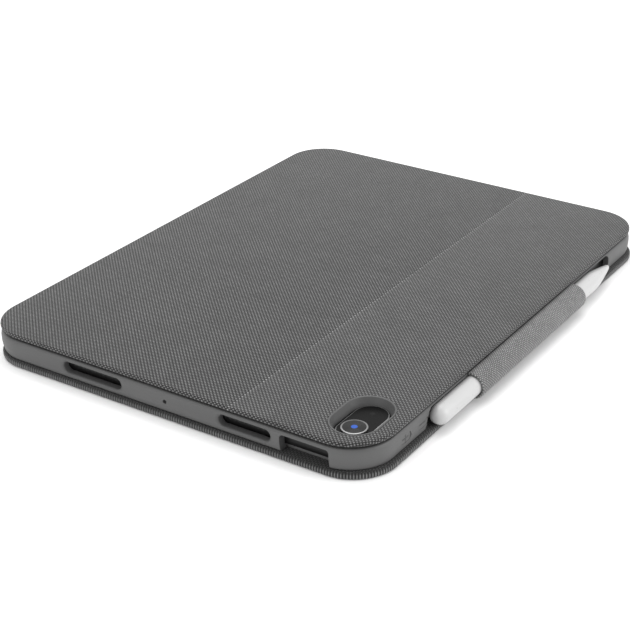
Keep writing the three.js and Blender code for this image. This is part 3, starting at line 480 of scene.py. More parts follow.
class Workpiece:
    """A mesh on the bench, shaped step by step in edit mode."""

    def __init__(self, name: str) -> None:
        """Takes the primitive that was just added and gives it its name."""
        self.piece = bpy.context.active_object
        self.piece.name = name
        self.piece.data.name = name
        self._settle()

    def _settle(self) -> None:
        """Moves the object's place into its mesh."""
        bpy.ops.object.transform_apply(location=True, rotation=True, scale=True)

    @classmethod
    def block(cls, name: str, low: Place, high: Place) -> "Workpiece":
        """Adds a cube between two corners.

        Args:
            name: The piece's name.
            low: The lowest corner.
            high: The highest corner.

        Returns:
            The work piece.
        """
        bpy.ops.object.select_all(action="DESELECT")
        bpy.ops.mesh.primitive_cube_add(size=1, location=centre(low, high))
        bpy.context.active_object.scale = [b - a for a, b in zip(low, high)]
        return cls(name)

    @classmethod
    def rod(cls, name: str, radius: float, start: Place, end: Place, sides: int = 32) -> "Workpiece":
        """Adds a cylinder from one point to another.

        Args:
            name: The piece's name.
            radius: Its radius.
            start: The middle of its first end.
            end: The middle of its other end.
            sides: How many sides it has.

        Returns:
            The work piece.
        """
        bpy.ops.object.select_all(action="DESELECT")
        a, b = Vector(start), Vector(end)
        turn = (b - a).to_track_quat("Z", "Y").to_euler()
        bpy.ops.mesh.primitive_cylinder_add(
            vertices=sides, radius=radius, depth=(b - a).length, location=(a + b) / 2, rotation=turn
        )
        return cls(name)

    @classmethod
    def stadium(
        cls, name: str, middle: Place, half: Vector, radius: float, depth: Vector, segments: int = 8
    ) -> "Workpiece":
        """Adds a bar with a round-ended section.

        Args:
            name: The piece's name.
            middle: The middle of the bar.
            half: From the middle to the centre of one round end.
            radius: The radius of the round ends.
            depth: From one flat face of the bar to the other.
            segments: The facets of each quarter round.

        Returns:
            The work piece.
        """
        across = half.normalized().cross(depth.normalized())
        reach = half.normalized() * (half.length + radius)
        size = [abs(reach[i]) + abs(across[i]) * radius + abs(depth[i]) / 2 for i in range(3)]
        bar = cls.block(name, *corners(middle, size))
        way = depth.normalized()
        bar.pick_edges(lambda a, b: abs((b - a).normalized().dot(way)) > FACING)
        bar.bevel(radius * 0.9999, segments)
        bar.edit()
        bpy.ops.mesh.select_all(action="SELECT")
        bpy.ops.mesh.remove_doubles(threshold=radius * 0.001)
        bar.leave()
        return bar

    def edit(self) -> bmesh.types.BMesh:
        """Enters edit mode and returns the mesh there."""
        bpy.context.view_layer.objects.active = self.piece
        bpy.ops.object.mode_set(mode="EDIT")
        return bmesh.from_edit_mesh(self.piece.data)

    def leave(self) -> None:
        """Leaves edit mode."""
        bpy.ops.object.mode_set(mode="OBJECT")

    def only(self) -> None:
        """Selects this piece alone and makes it active."""
        bpy.ops.object.select_all(action="DESELECT")
        self.piece.select_set(True)
        bpy.context.view_layer.objects.active = self.piece

    def _pick(self, mode: str, chosen: Callable[[bmesh.types.BMesh], list[Any]]) -> int:
        """Selects parts of the mesh in one selection mode and returns how many."""
        self.only()
        mesh = self.edit()
        bpy.ops.mesh.select_mode(type=mode)
        bpy.ops.mesh.select_all(action="DESELECT")
        found = chosen(mesh)
        for element in found:
            element.select_set(True)
        mesh.select_flush_mode()
        bmesh.update_edit_mesh(self.piece.data)
        self.leave()
        return len(found)

    def pick_edges(self, rule: Callable[[Vector, Vector], bool]) -> int:
        """Selects the edges whose two ends pass the rule."""
        return self._pick(
            "EDGE", lambda mesh: [e for e in mesh.edges if rule(e.verts[0].co, e.verts[1].co)]
        )

    def pick_faces(self, rule: Callable[[Vector, Vector], bool]) -> int:
        """Selects the faces whose centre and normal pass the rule."""
        return self._pick(
            "FACE", lambda mesh: [f for f in mesh.faces if rule(f.calc_center_median(), f.normal)]
        )

    def pick_points(self, rule: Rule) -> int:
        """Selects the points whose place passes the rule."""
        return self._pick("VERT", lambda mesh: [v for v in mesh.verts if rule(v.co)])

    def operate(self, operator: Callable[..., Any], **values: Any) -> "Workpiece":
        """Runs one edit-mode operator on what is selected."""
        self.edit()
        operator(**values)
        self.leave()
        return self

    def bevel(self, width: float, segments: int, profile: float = 0.5) -> "Workpiece":
        """Bevels the selected edges."""
        return self.operate(
            bpy.ops.mesh.bevel, offset=width, segments=segments, profile=profile, clamp_overlap=True
        )

    def round_upright(self, radius: float, segments: int) -> "Workpiece":
        """Bevels the upright edges."""
        self.pick_edges(lambda a, b: abs(a.z - b.z) > 1 * MM)
        return self.bevel(radius, segments)

    def round_top(self, level: float, width: float, segments: int) -> "Workpiece":
        """Bevels the edges that lie at the piece's top level."""
        self.pick_edges(lambda a, b: min(a.z, b.z) > level - CLOSE)
        return self.bevel(width, segments)

    def inset(self, width: float) -> "Workpiece":
        """Insets the selected faces."""
        return self.operate(bpy.ops.mesh.inset, thickness=width, use_even_offset=True)

    def extrude(self, move: Place) -> "Workpiece":
        """Extrudes the selected faces by a move."""
        return self.operate(
            bpy.ops.mesh.extrude_region_move, TRANSFORM_OT_translate={"value": move}
        )

    def move(self, value: Place) -> "Workpiece":
        """Moves what is selected."""
        return self.operate(bpy.ops.transform.translate, value=value)

    def scale(self, value: Place, centre: Place) -> "Workpiece":
        """Scales what is selected about a point."""
        return self.operate(bpy.ops.transform.resize, value=value, center_override=centre)

    def slice(self, point: Place, normal: Place) -> "Workpiece":
        """Cuts an edge loop all round where a plane meets the piece."""
        self.only()
        self.edit()
        bpy.ops.mesh.select_all(action="SELECT")
        bpy.ops.mesh.bisect(plane_co=point, plane_no=normal)
        self.leave()
        return self

    def modifier(self, kind: str, **settings: Any) -> "Workpiece":
        """Adds a modifier with those settings and applies it."""
        self.only()
        made = self.piece.modifiers.new(kind.lower(), kind)
        for key, value in settings.items():
            setattr(made, key, value)
        bpy.ops.object.modifier_apply(modifier=made.name)
        return self

    def subtract(self, *cutters: "Workpiece") -> "Workpiece":
        """Cuts the cutters' shapes out of the piece and removes the cutters."""
        for cutter in cutters:
            self.modifier("BOOLEAN", operation="DIFFERENCE", solver="EXACT", object=cutter.piece)
            bpy.data.objects.remove(cutter.piece)
        return self

    def tidy(self) -> "Workpiece":
        """Merges doubles and turns every face outwards."""
        self.only()
        self.edit()
        bpy.ops.mesh.select_all(action="SELECT")
        bpy.ops.mesh.remove_doubles(threshold=CLOSE)
        bpy.ops.mesh.normals_make_consistent(inside=False)
        self.leave()
        return self

    def smooth(self, degrees: float = 35.0) -> "Workpiece":
        """Shades the faces smooth up to an angle."""
        self.only()
        bpy.ops.object.shade_smooth_by_angle(angle=math.radians(degrees))
        return self

    def lay(self, rule: Laying) -> "Workpiece":
        """Lays the cloth's map.

        Args:
            rule: Gives two lengths along the threads from a place, its face's middle and normal.

        Returns:
            The work piece.
        """
        mesh = self.piece.data
        layer = mesh.uv_layers.get("weave") or mesh.uv_layers.new(name="weave")
        for face in mesh.polygons:
            for loop in face.loop_indices:
                place = mesh.vertices[mesh.loops[loop].vertex_index].co
                layer.data[loop].uv = rule(place, face.center, face.normal)
        return self

    def dress(self, material: bpy.types.Material) -> "Workpiece":
        """Gives the piece one material."""
        self.piece.data.materials.clear()
        self.piece.data.materials.append(material)
        return self


def report(piece: Workpiece, body: str, *nodes: str) -> bpy.types.Object:
    """Hangs a piece on its body, says which nodes it stands for and logs it.

    Args:
        piece: The finished piece.
        body: The body that it rides on.
        nodes: The nodes that it replaces.

    Returns:
        The piece's object.
    """
    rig.ride(piece.piece, body)
    if nodes:
        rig.replaces(piece.piece, *nodes)
    LOG.info("%s rides on %s, %d faces", piece.piece.name, body, len(piece.piece.data.polygons))
    return piece.piece


def nearest(place: Vector, half_x: float, low_y: float, high_y: float, radius: float) -> tuple[Any, ...]:
    """Returns the nearest point inside a rounded rim's centres, and the way out from it."""
    x = min(max(place.x, -half_x + radius), half_x - radius)
    y = min(max(place.y, low_y + radius), high_y - radius)
    return x, y, Vector((place.x - x, place.y - y))


def wrap_over(half_x: float, low_y: float, high_y: float, radius: float, top: float) -> Laying:
    """Returns the rule that carries a panel's threads over its rounded edges."""

    def rule(place: Vector, middle: Vector, normal: Vector) -> tuple[float, float]:
        """Returns the lengths along the threads at a place."""
        out = nearest(place, half_x, low_y, high_y, radius)[2]
        if out.length < 1e-7:
            return place.x, place.y
        fall = top - place.z
        out.normalize()
        return place.x + out.x * fall, place.y + out.y * fall

    return rule


def rib_round(half_x: float, low_y: float, high_y: float, radius: float, thread: float) -> Laying:
    """Returns the rule that lays upright ribs round a panel's rim and a plain weave on its faces."""
    bend = radius * math.pi / 2
    long_run, short_run = 2 * (half_x - radius), high_y - low_y - 2 * radius
    total = 2 * long_run + 2 * short_run + 4 * bend

    def walked(place: Vector) -> float:
        """Returns the way round the rim to a place, from the front left corner's end."""
        x, y, out = nearest(place, half_x, low_y, high_y, radius)
        angle = math.atan2(out.y, out.x) + math.pi / 2
        turned = (angle % (2 * math.pi)) / (math.pi / 2)
        side = min(int(turned + 1e-4), 3)
        runs = (x + half_x - radius, y - low_y - radius, half_x - radius - x, high_y - radius - y)
        both = long_run + short_run
        start = (0.0, long_run + bend, both + 2 * bend, both + long_run + 3 * bend)
        if abs(turned - round(turned)) < 1e-4:
            side = round(turned) % 4
            return start[side] + runs[side]
        return start[side] + (long_run, short_run)[side % 2] + (turned - side) * bend

    def rule(place: Vector, middle: Vector, normal: Vector) -> tuple[float, float]:
        """Returns the lengths along the threads at a place."""
        if abs(normal.z) > 0.97:
            return place.x, place.y
        way = walked(place)
        if walked(middle) > total / 2 and way < total / 4:
            way += total
        return way * RIB_SHARE, thread / 2

    return rule


@dataclass
class TopCloth:
    """The cloth over the back: fixed front panel and kickstand, in one piece across the crease."""

    corner: float = 20.0 * MM
    rim: float = 0.6 * MM
    skin: float = 0.4 * MM
    crease_half: float = 1.4 * MM
    groove: float = 0.3 * MM
    hinge_height: float = 14.6 * MM
    window_half: float = 5.0 * MM
    window_radius: float = 10.9 * MM
    top_roll: float = 0.95 * MM
    rim_roll: float = 0.55 * MM
    allowance: float = 3 * MM

    def build(self, cloth: bpy.types.Material) -> Workpiece:
        """Makes the cloth and hangs it on both bodies.

        Args:
            cloth: The woven material.

        Returns:
            The piece.
        """
        front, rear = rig.box("front_panel_fabric"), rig.box("kickstand_fabric")
        low = (front[0][0], front[0][1], front[0][2])
        high = (rear[1][0], rear[1][1], rear[1][2])
        crease = (front[1][1] + rear[0][1]) / 2
        sheet = Workpiece.block("top_cloth", low, high)
        sheet.round_upright(self.corner, 14).round_top(high[2], self.top_roll, 5)
        sheet.pick_edges(lambda a, b: max(a.z, b.z) < low[2] + CLOSE)
        sheet.bevel(self.rim_roll, 3)
        sheet.pick_faces(lambda c, n: n.z < -FACING and c.z < low[2] + CLOSE)
        sheet.inset(self.rim)
        sheet.extrude((0, 0, high[2] - self.skin - low[2]))
        for share in (-1.0, -0.5, 0.0, 0.5, 1.0):
            sheet.slice((0, crease + share * self.crease_half, 0), (0, 1, 0))
        for share, depth in ((-0.5, 0.6), (0.0, 1.0), (0.5, 0.6)):
            line = crease + share * self.crease_half
            sheet.pick_points(lambda v, y=line: abs(v.y - y) < CLOSE and v.z > high[2] - 0.1 * MM)
            sheet.move((0, 0, -self.groove * depth))
        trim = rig.box("camera_window_trim")
        middle = (*centre(*trim)[:2], high[2])
        hole = Workpiece.stadium(
            "window_cutter", middle, Vector((self.window_half, 0, 0)), self.window_radius,
            Vector((0, 0, 8 * MM)),
        )
        sheet.subtract(hole)
        sheet.lay(wrap_over(high[0], low[1], high[1], self.corner, high[2]))
        sheet.tidy().smooth(40).dress(cloth)
        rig.replaces(sheet.piece, "front_panel_fabric", "kickstand_fabric")
        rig.sheet(
            sheet.piece, flat=(2 * high[0] + self.allowance, high[1] - low[1] + self.allowance),
            held="stretched", rests_on=["front_panel_board", "kickstand_board"],
        )
        start, end = crease - self.crease_half, crease + self.crease_half
        z = self.hinge_height
        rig.blend(sheet.piece, "tray", "kickstand", (0, start, z), (0, end, z))
        LOG.info("top_cloth bends at the crease, %d faces", len(sheet.piece.data.polygons))
        return sheet


@dataclass
class LowerCover:
    """The cloth cover of the keyboard half, with its recess for the deck."""

    corner: float = 20.0 * MM
    thickness: float = 3.0 * MM
    floor: float = 0.6 * MM
    deck_gap: float = 0.3 * MM
    deck_corner: float = 14.0 * MM
    roll: float = 1.1 * MM
    allowance: float = 5 * MM

    def build(self, cloth: bpy.types.Material) -> None:
        """Makes the cover.

        Args:
            cloth: The woven material.
        """
        low, high = (Vector(corner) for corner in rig.box("cover_fabric"))
        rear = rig.box("kickstand_fabric")[1][1]
        deck_low, deck_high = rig.box("keyboard_deck")
        cover = Workpiece.block("lower_cover_cloth", (low.x, low.y, 0), (high.x, rear, self.thickness))
        cover.round_upright(self.corner, 14)
        cover.pick_edges(lambda a, b: abs(a.z - b.z) < CLOSE)
        cover.bevel(self.roll, 5)
        pocket = Workpiece.block(
            "deck_cutter",
            (deck_low[0] - self.deck_gap, deck_low[1] - self.deck_gap, self.floor),
            (deck_high[0] + self.deck_gap, deck_high[1] + self.deck_gap, 8 * MM),
        )
        pocket.round_upright(self.deck_corner, 10)
        cover.subtract(pocket)
        cover.lay(rib_round(high.x, low.y, rear, self.corner, WovenCloth.thread))
        cover.tidy().smooth(40).dress(cloth)
        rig.sheet(
            cover.piece, flat=(2 * high.x + self.allowance, rear - low.y + self.allowance),
            held="stretched", rests_on=["cover_board"],
        )
        report(cover, "base", "cover_fabric")


@dataclass
class SpineCloth:
    """The cloth of the spine, in two strips that each bend at one fold."""

    lower_fold: float = 2.85 * MM
    upper_fold: float = 13.15 * MM
    turn: float = 1.2 * MM
    skin: float = 0.5 * MM
    bottom: float = 0.6 * MM
    flat_height: float = 10.5 * MM
    weave_from: float = 0.016
    slices: int = 12

    def strip(self, name: str, z0: float, z1: float, cloth: bpy.types.Material) -> Workpiece:
        """Makes one upright strip.

        Args:
            name: The piece's name.
            z0: Its lower edge.
            z1: Its upper edge.
            cloth: The woven material.

        Returns:
            The strip.
        """
        low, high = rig.box("spine_fabric")
        strip = Workpiece.block(name, (low[0], high[1] - self.skin, z0), (high[0], high[1], z1))
        for step in range(1, self.slices):
            strip.slice((0, 0, z0 + (z1 - z0) * step / self.slices), (0, 0, 1))
        strip.pick_edges(lambda a, b: abs(a.x - b.x) < CLOSE and abs(a.x) > high[0] - CLOSE)
        strip.bevel(0.2 * MM, 2)
        strip.lay(lambda place, middle, normal: (place.x, high[1] + self.weave_from - place.z))
        return strip.tidy().smooth(40).dress(cloth)

    def build(self, cloth: bpy.types.Material) -> None:
        """Makes both strips and their turned edges.

        Args:
            cloth: The woven material.
        """
        low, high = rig.box("spine_fabric")
        middle = (self.lower_fold + self.upper_fold) / 2
        width = high[0] - low[0]
        lower = self.strip("spine_cloth_lower", self.bottom, middle, cloth)
        self.tongue(lower, self.bottom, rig.box("kickstand_fabric")[1][1] - 1 * MM)
        upper = self.strip("spine_cloth_upper", middle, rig.box("spine_fold_strip")[1][2], cloth)
        self.tongue(upper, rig.box("spine_fold_strip")[1][2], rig.box("tray_bumper")[1][1] + 0.1 * MM)
        y = high[1]
        for piece, pair, fold, sign in (
            (lower, ("base", "spine"), self.lower_fold, 1),
            (upper, ("tray", "spine"), self.upper_fold, -1),
        ):
            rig.sheet(piece.piece, flat=(width, self.flat_height), held="folded", rests_on=["spine_board"])
            start, end = fold - sign * self.turn, fold + sign * self.turn
            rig.blend(piece.piece, *pair, (0, y, start), (0, y, end))
            LOG.info("%s bends at its fold", piece.piece.name)
        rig.replaces(lower.piece, "spine_fabric")
        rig.replaces(upper.piece, "spine_fold_strip")

    def tongue(self, strip: Workpiece, level: float, inner: float) -> None:
        """Extrudes the strip's end inwards so that it lies on the neighbouring half."""
        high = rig.box("spine_fabric")[1]
        y = high[1] - self.skin
        strip.pick_faces(
            lambda c, n: abs(c.y - y) < 1e-5 and n.y < -0.9 and abs(c.z - level) < 0.75 * MM
        )
        strip.extrude((0, inner - y, 0))
        strip.lay(
            lambda place, middle, normal: (
                place.x, high[1] + self.weave_from - place.z + abs(y - place.y) * 0.5
            )
        )


@dataclass
class StylusFlap:
    """The half round of cloth that holds the stylus to the front edge."""

    clearance: float = 0.5 * MM
    thickness: float = 0.9 * MM
    stylus_radius: float = 4.45 * MM
    steps: int = 26
    tail: float = 1.5 * MM
    split: float = 0.8 * MM
    lean: float = 0.07
    edge: float = 0.34 * MM

    def build(self, cloth: bpy.types.Material) -> None:
        """Makes the flap and bends it between its two bodies.

        Args:
            cloth: The woven material.
        """
        low_box, high_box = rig.box("flap_lower"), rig.box("flap_upper")
        outer = self.stylus_radius + self.clearance + self.thickness
        inner = outer - self.thickness
        axis_y = high_box[0][1] + outer
        axis_z = high_box[1][2] - outer
        x0, x1 = low_box[0][0], low_box[1][0]
        start = -math.pi / 2 + self.lean
        bpy.ops.object.select_all(action="DESELECT")
        bpy.ops.mesh.primitive_plane_add(size=1, location=((x0 + x1) / 2, 0, -(inner + outer) / 2))
        bpy.context.active_object.rotation_euler = (math.pi / 2, 0, 0)
        bpy.context.active_object.scale = (x1 - x0, self.thickness, 1)
        flap = Workpiece("flap_cloth")
        flap.piece.data.transform(Matrix.Rotation(-self.lean, 4, "X"))
        flap.only()
        flap.edit()
        bpy.ops.mesh.select_all(action="SELECT")
        bpy.ops.mesh.spin(steps=self.steps, angle=math.pi / 2 - start, center=(0, 0, 0), axis=(1, 0, 0))
        flap.leave()
        flap.piece.data.transform(Matrix.Translation((0, axis_y, axis_z)))
        flap.pick_faces(lambda c, n: c.z > axis_z and abs(c.y - axis_y) < 1e-5)
        flap.extrude((0, self.tail, 0))
        flap.tidy()

        def reach(place: Vector) -> float:
            """Returns a place's distance from the stylus axis."""
            return math.hypot(place.y - axis_y, place.z - axis_z)

        flap.pick_edges(
            lambda a, b: abs(a.x - b.x) < CLOSE and min(abs(a.x - x0), abs(a.x - x1)) < CLOSE
            and (a - b).length > 1e-5 and abs(reach(a) - reach(b)) < 2e-4
        )
        flap.bevel(self.edge, 3)

        def along(place: Vector, middle: Vector, normal: Vector) -> tuple[float, float]:
            """Returns the lengths along the threads on the flap."""
            angle = math.atan2(place.z - axis_z, axis_y - place.y)
            past = max(0.0, place.y - axis_y)
            length = outer * min(angle, math.pi / 2) if past > 0 and place.z > axis_z else outer * angle
            return place.x, length + past

        flap.lay(along)
        flap.tidy().smooth(40).dress(cloth)
        arc = math.pi * (inner + outer) / 2
        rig.replaces(flap.piece, "flap_lower", "flap_upper")
        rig.sheet(
            flap.piece, flat=(x1 - x0, arc + self.tail), held="folded", rests_on=["lower_cover_cloth"]
        )
        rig.blend(
            flap.piece, "flap_lower", "flap_upper",
            (0, axis_y - outer, axis_z - self.split), (0, axis_y - outer, axis_z + self.split),
        )
        LOG.info("flap_cloth bends at its middle")


@dataclass
class Bumper:
    """The moulded wall round the tablet, with its slots and notches."""

    corner: float = 19.2 * MM
    crown: float = 0.35 * MM
    side_wall: float = 3.05 * MM
    front_wall: float = 2.1 * MM
    rear_wall: float = 3.0 * MM
    lip: float = 1.2 * MM
    lip_height: float = 1.6 * MM
    slot_height: float = 5.0 * MM
    middle_height: float = 8.25 * MM
    tablet_back: float = 11.3 * MM
    speakers: tuple[tuple[float, float], ...] = ((-53.25, 25.0), (21.35, 31.0))
    port: tuple[float, float] = (-12.4, 13.0)
    notch: tuple[float, float] = (-80.65, 22.7)
    stylus_slot: tuple[float, float, float] = (-82.5 * MM, 88.5 * MM, 12.25 * MM)
    microphone: tuple[float, float] = (-1.9 * MM, 0.95 * MM)
    seam: float = 0.85 * MM
    seam_inset: float = 0.55 * MM

    def gasket(self, rubber: bpy.types.Material) -> None:
        """Makes a black strip in the seam between the wall and the back panel, a painted shadow where the seam holds
        only shade.

        Args:
            rubber: Its black material.
        """
        low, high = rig.box("tray_bumper")
        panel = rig.box("front_panel_fabric")[0][2]
        strip = Workpiece.block(
            "seam_gasket",
            (low[0] + self.seam_inset, low[1] + self.seam_inset, high[2] - self.seam),
            (high[0] - self.seam_inset, high[1] - self.seam_inset, panel),
        )
        strip.pick_edges(lambda a, b: abs(a.z - b.z) > 0.3 * MM)
        strip.bevel(self.corner - self.seam_inset, 16)
        strip.pick_faces(lambda c, n: abs(n.z) > FACING)
        strip.inset(0.9 * MM)
        strip.pick_faces(lambda c, n: abs(n.z) > FACING and abs(c.x) < 1e-4 and abs(c.y) < 1e-4)
        strip.operate(bpy.ops.mesh.bridge_edge_loops)
        strip.tidy().smooth(35).dress(rubber)
        report(strip, "tray")

    def ring(self) -> Workpiece:
        """Returns the solid outer shape with its crowned sides."""
        low, high = (list(corner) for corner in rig.box("tray_bumper"))
        high[2] -= self.seam
        ring = Workpiece.block("bumper_shell", low, high)
        ring.round_upright(self.corner, 16)
        height = high[2] - low[2]
        for share, swell in ((0.12, 0.45), (0.28, 0.85), (0.5, 1.0), (0.72, 0.85), (0.88, 0.45)):
            z = low[2] + share * height
            ring.slice((0, 0, z), (0, 0, 1))
            ring.pick_points(lambda v, z=z: abs(v.z - z) < CLOSE)
            grow = self.crown * swell
            ring.scale(((high[0] + grow) / high[0], (high[1] + grow) / high[1], 1), (0, 0, z))
        for z, width in ((high[2], 0.5), (low[2], 0.9)):
            ring.pick_edges(lambda a, b, z=z: max(abs(a.z - z), abs(b.z - z)) < CLOSE)
            ring.bevel(width * MM, 3)
        return ring

    def slot(self, side: Side, start: float, length: float) -> Workpiece:
        """Returns the cutter of a round-ended slot whose mouth flares softly.

        Args:
            side: The side that it goes through.
            start: Its end nearest the front, in millimetres.
            length: Its length, in millimetres.

        Returns:
            The cutter.
        """
        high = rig.box("tray_bumper")[1]
        radius = self.slot_height / 2
        outer = high[0] + self.crown
        middle_y = (start + length / 2) * MM
        depth = self.side_wall + 3 * MM
        flare = 0.9 * MM
        middle_x = side.value * (outer - flare - depth / 2)
        cutter = Workpiece.stadium(
            "slot_cutter", (middle_x, middle_y, self.middle_height),
            Vector((0, length * MM / 2 - radius, 0)), radius, Vector((depth, 0, 0)),
        )
        half_length = length * MM / 2
        wide = (half_length, radius)
        reach = middle_x + side.value * depth / 2
        for run, growth in ((0.35, 0.1), (0.3, 0.22), (0.25, 0.4), (0.6, 1.1)):
            cutter.pick_faces(lambda c, n: n.x * side.value > FACING)
            cutter.extrude((side.value * run * MM, 0, 0))
            reach += side.value * run * MM
            grown = (wide[0] + growth * MM, wide[1] + growth * MM)
            factors = (1, grown[0] / wide[0], grown[1] / wide[1])
            cutter.scale(factors, (reach, middle_y, self.middle_height))
            wide = grown
        return cutter

    def notch_cutter(self) -> Workpiece:
        """Returns the cutter of the open notch over the tablet's power button."""
        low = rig.box("tray_bumper")[0]
        start, length = self.notch
        cutter = Workpiece.block(
            "notch_cutter",
            (low[0] - 2 * MM, start * MM, -1 * MM),
            (low[0] + self.side_wall + 2.2 * MM, (start + length) * MM, self.tablet_back),
        )
        cutter.pick_edges(lambda a, b: a.z > 5 * MM and b.z > 5 * MM and abs(a.x - b.x) > 1 * MM)
        cutter.bevel(1.6 * MM, 6)
        return cutter

    def stylus_cutter(self) -> Workpiece:
        """Returns the cutter of the open slot in front of the stylus."""
        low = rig.box("tray_bumper")[0]
        x0, x1, top = self.stylus_slot
        cutter = Workpiece.block(
            "stylus_cutter",
            (x0, low[1] - 2 * MM, -1 * MM),
            (x1, low[1] + self.front_wall + self.lip + 1 * MM, top),
        )
        cutter.pick_points(lambda v: v.z < 0 and v.x < 0)
        cutter.move((-2.5 * MM, 0, 0))
        cutter.pick_edges(lambda a, b: a.z > 5 * MM and b.z > 5 * MM and abs(a.y - b.y) > 1 * MM)
        cutter.bevel(3.2 * MM, 8)
        return cutter

    def inside(self, grow: float, z0: float, z1: float) -> Workpiece:
        """Returns a cutter of the bay's outline, made smaller by grow."""
        low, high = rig.box("tray_bumper")
        cutter = Workpiece.block(
            "bay_cutter",
            (low[0] + self.side_wall + grow, low[1] + self.front_wall + grow, z0),
            (high[0] - self.side_wall - grow, high[1] - self.rear_wall - grow, z1),
        )
        return cutter.round_upright(self.corner - self.side_wall - grow, 12)

    def button_cutters(self) -> list[Workpiece]:
        """Returns the cutters of the two volume button holes."""
        found = []
        for node in ("volume_up_button", "volume_down_button"):
            low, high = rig.box(node)
            radius = (high[2] - low[2]) / 2 + 0.01 * MM
            half = (high[0] - low[0]) / 2 + 0.01 * MM - radius
            found.append(Workpiece.stadium(
                "button_cutter", centre(low, high), Vector((half, 0, 0)), radius, Vector((0, 12 * MM, 0))
            ))
        return found

    def build(self, shell: bpy.types.Material) -> None:
        """Makes the bumper.

        Args:
            shell: The soft polymer.
        """
        low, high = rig.box("tray_bumper")
        ring = self.ring()
        lip_top = low[2] + self.lip_height
        ring.subtract(self.inside(0.0, lip_top, high[2] + 2 * MM))
        ring.subtract(self.inside(self.lip, low[2] - 2 * MM, high[2] + 2 * MM))
        for start, length in self.speakers:
            ring.subtract(*(self.slot(side, start, length) for side in Side))
        ring.subtract(self.slot(Side.RIGHT, *self.port), self.notch_cutter(), self.stylus_cutter())
        ring.subtract(*self.button_cutters())
        hole_y, hole_radius = self.microphone
        ring.subtract(Workpiece.rod(
            "hole_cutter", hole_radius, (low[0] - 2 * MM, hole_y, self.middle_height),
            (low[0] + self.side_wall + 2 * MM, hole_y, self.middle_height), 20,
        ))
        ring.tidy().smooth(35).dress(shell)
        report(ring, "tray", "tray_bumper")


@dataclass
class CameraTrim:
    """The sloping sleeve that lines the camera window, with its thin lip."""

    half: float = 5.0 * MM
    outer: float = 10.75 * MM
    lip_width: float = 0.45 * MM
    lip_rise: float = 0.2 * MM
    throat: float = 8.6 * MM
    flat: float = 14 * MM
    lip_round: float = 0.12 * MM
    slopes: tuple[tuple[float, float], ...] = ((0.3, 0.15), (0.35, 0.9), (0.45, 1.2), (0.6, 1.5))

    def build(self, shell: bpy.types.Material) -> None:
        """Makes the trim.

        Args:
            shell: The soft polymer.
        """
        low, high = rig.box("camera_window_trim")
        top = high[2] + self.lip_rise
        middle = centre(low, (high[0], high[1], top))
        depth = Vector((0, 0, top - low[2]))
        trim = Workpiece.stadium(
            "camera_trim", middle, Vector((self.half, 0, 0)), self.outer, depth, 12
        )
        trim.pick_faces(lambda c, n: n.z > FACING)
        trim.inset(self.lip_width)
        for width, fall in self.slopes:
            trim.operate(bpy.ops.mesh.inset, thickness=width * MM, depth=-fall * MM)
        trim.pick_faces(lambda c, n: n.z < -FACING)
        trim.inset(self.outer - self.throat)
        floor = top - sum(fall for _, fall in self.slopes) * MM
        trim.pick_faces(
            lambda c, n: abs(n.z) > FACING and abs(c.x - middle[0]) < 1e-5 and abs(c.y - middle[1]) < 1e-5
            and c.z < floor + 0.1 * MM
        )
        trim.operate(bpy.ops.mesh.bridge_edge_loops)
        trim.pick_edges(
            lambda a, b: max(abs(a.z - top), abs(b.z - top)) < CLOSE
            and max(abs(a.y - middle[1]), abs(b.y - middle[1])) < self.flat
        )
        trim.bevel(self.lip_round, 2)
        trim.tidy().smooth(35).dress(shell)
        report(trim, "tray", "camera_window_trim")


@dataclass
class VolumeMarks:
    """The plus and minus marks raised on the two volume buttons."""

    length: float = 4.4 * MM
    width: float = 0.5 * MM
    rise: float = 0.12 * MM
    proud: float = 0.04 * MM

    def bar(self, name: str, middle: Place, size: Place, shell: bpy.types.Material) -> Workpiece:
        """Returns one raised bar with softened edges."""
        bar = Workpiece.block(name, *corners(middle, [side / 2 for side in size]))
        bar.pick_edges(lambda a, b: True)
        bar.bevel(0.05 * MM, 2)
        return bar.tidy().smooth(35).dress(shell)

    def button(self, name: str, node: str, shell: bpy.types.Material) -> Workpiece:
        """Returns a button cap that lies flush with the wall's crown."""
        low, high = (list(corner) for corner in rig.box(node))
        low[1] -= self.proud
        radius = (high[2] - low[2]) / 2
        half = (high[0] - low[0]) / 2 - radius
        cap = Workpiece.stadium(
            name, centre(low, high), Vector((half, 0, 0)), radius, Vector((0, high[1] - low[1], 0)), 10
        )
        cap.pick_edges(lambda a, b: max(a.y, b.y) < low[1] + CLOSE)
        cap.bevel(0.02 * MM, 1)
        return cap.tidy().smooth(35).dress(shell)

    def build(self, shell: bpy.types.Material, mark: bpy.types.Material) -> None:
        """Makes both buttons and their marks.

        Args:
            shell: The soft polymer.
            mark: The darker tone of the marks.
        """
        for body, plus in (("volume_up", True), ("volume_down", False)):
            node = f"{body}_button"
            low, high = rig.box(node)
            cap = self.button(f"{body}_cap", node, shell)
            middle = ((low[0] + high[0]) / 2, low[1] - self.rise / 2 + 0.02 * MM, (low[2] + high[2]) / 2)
            report(cap, body, node)
            size = (self.length, self.rise + 0.06 * MM, self.width)
            report(self.bar(f"{body}_mark", middle, size, mark), body)
            if plus:
                size = (self.width, self.rise + 0.05 * MM, self.length * 0.85)
                report(self.bar(f"{body}_mark_upright", middle, size, mark), body)


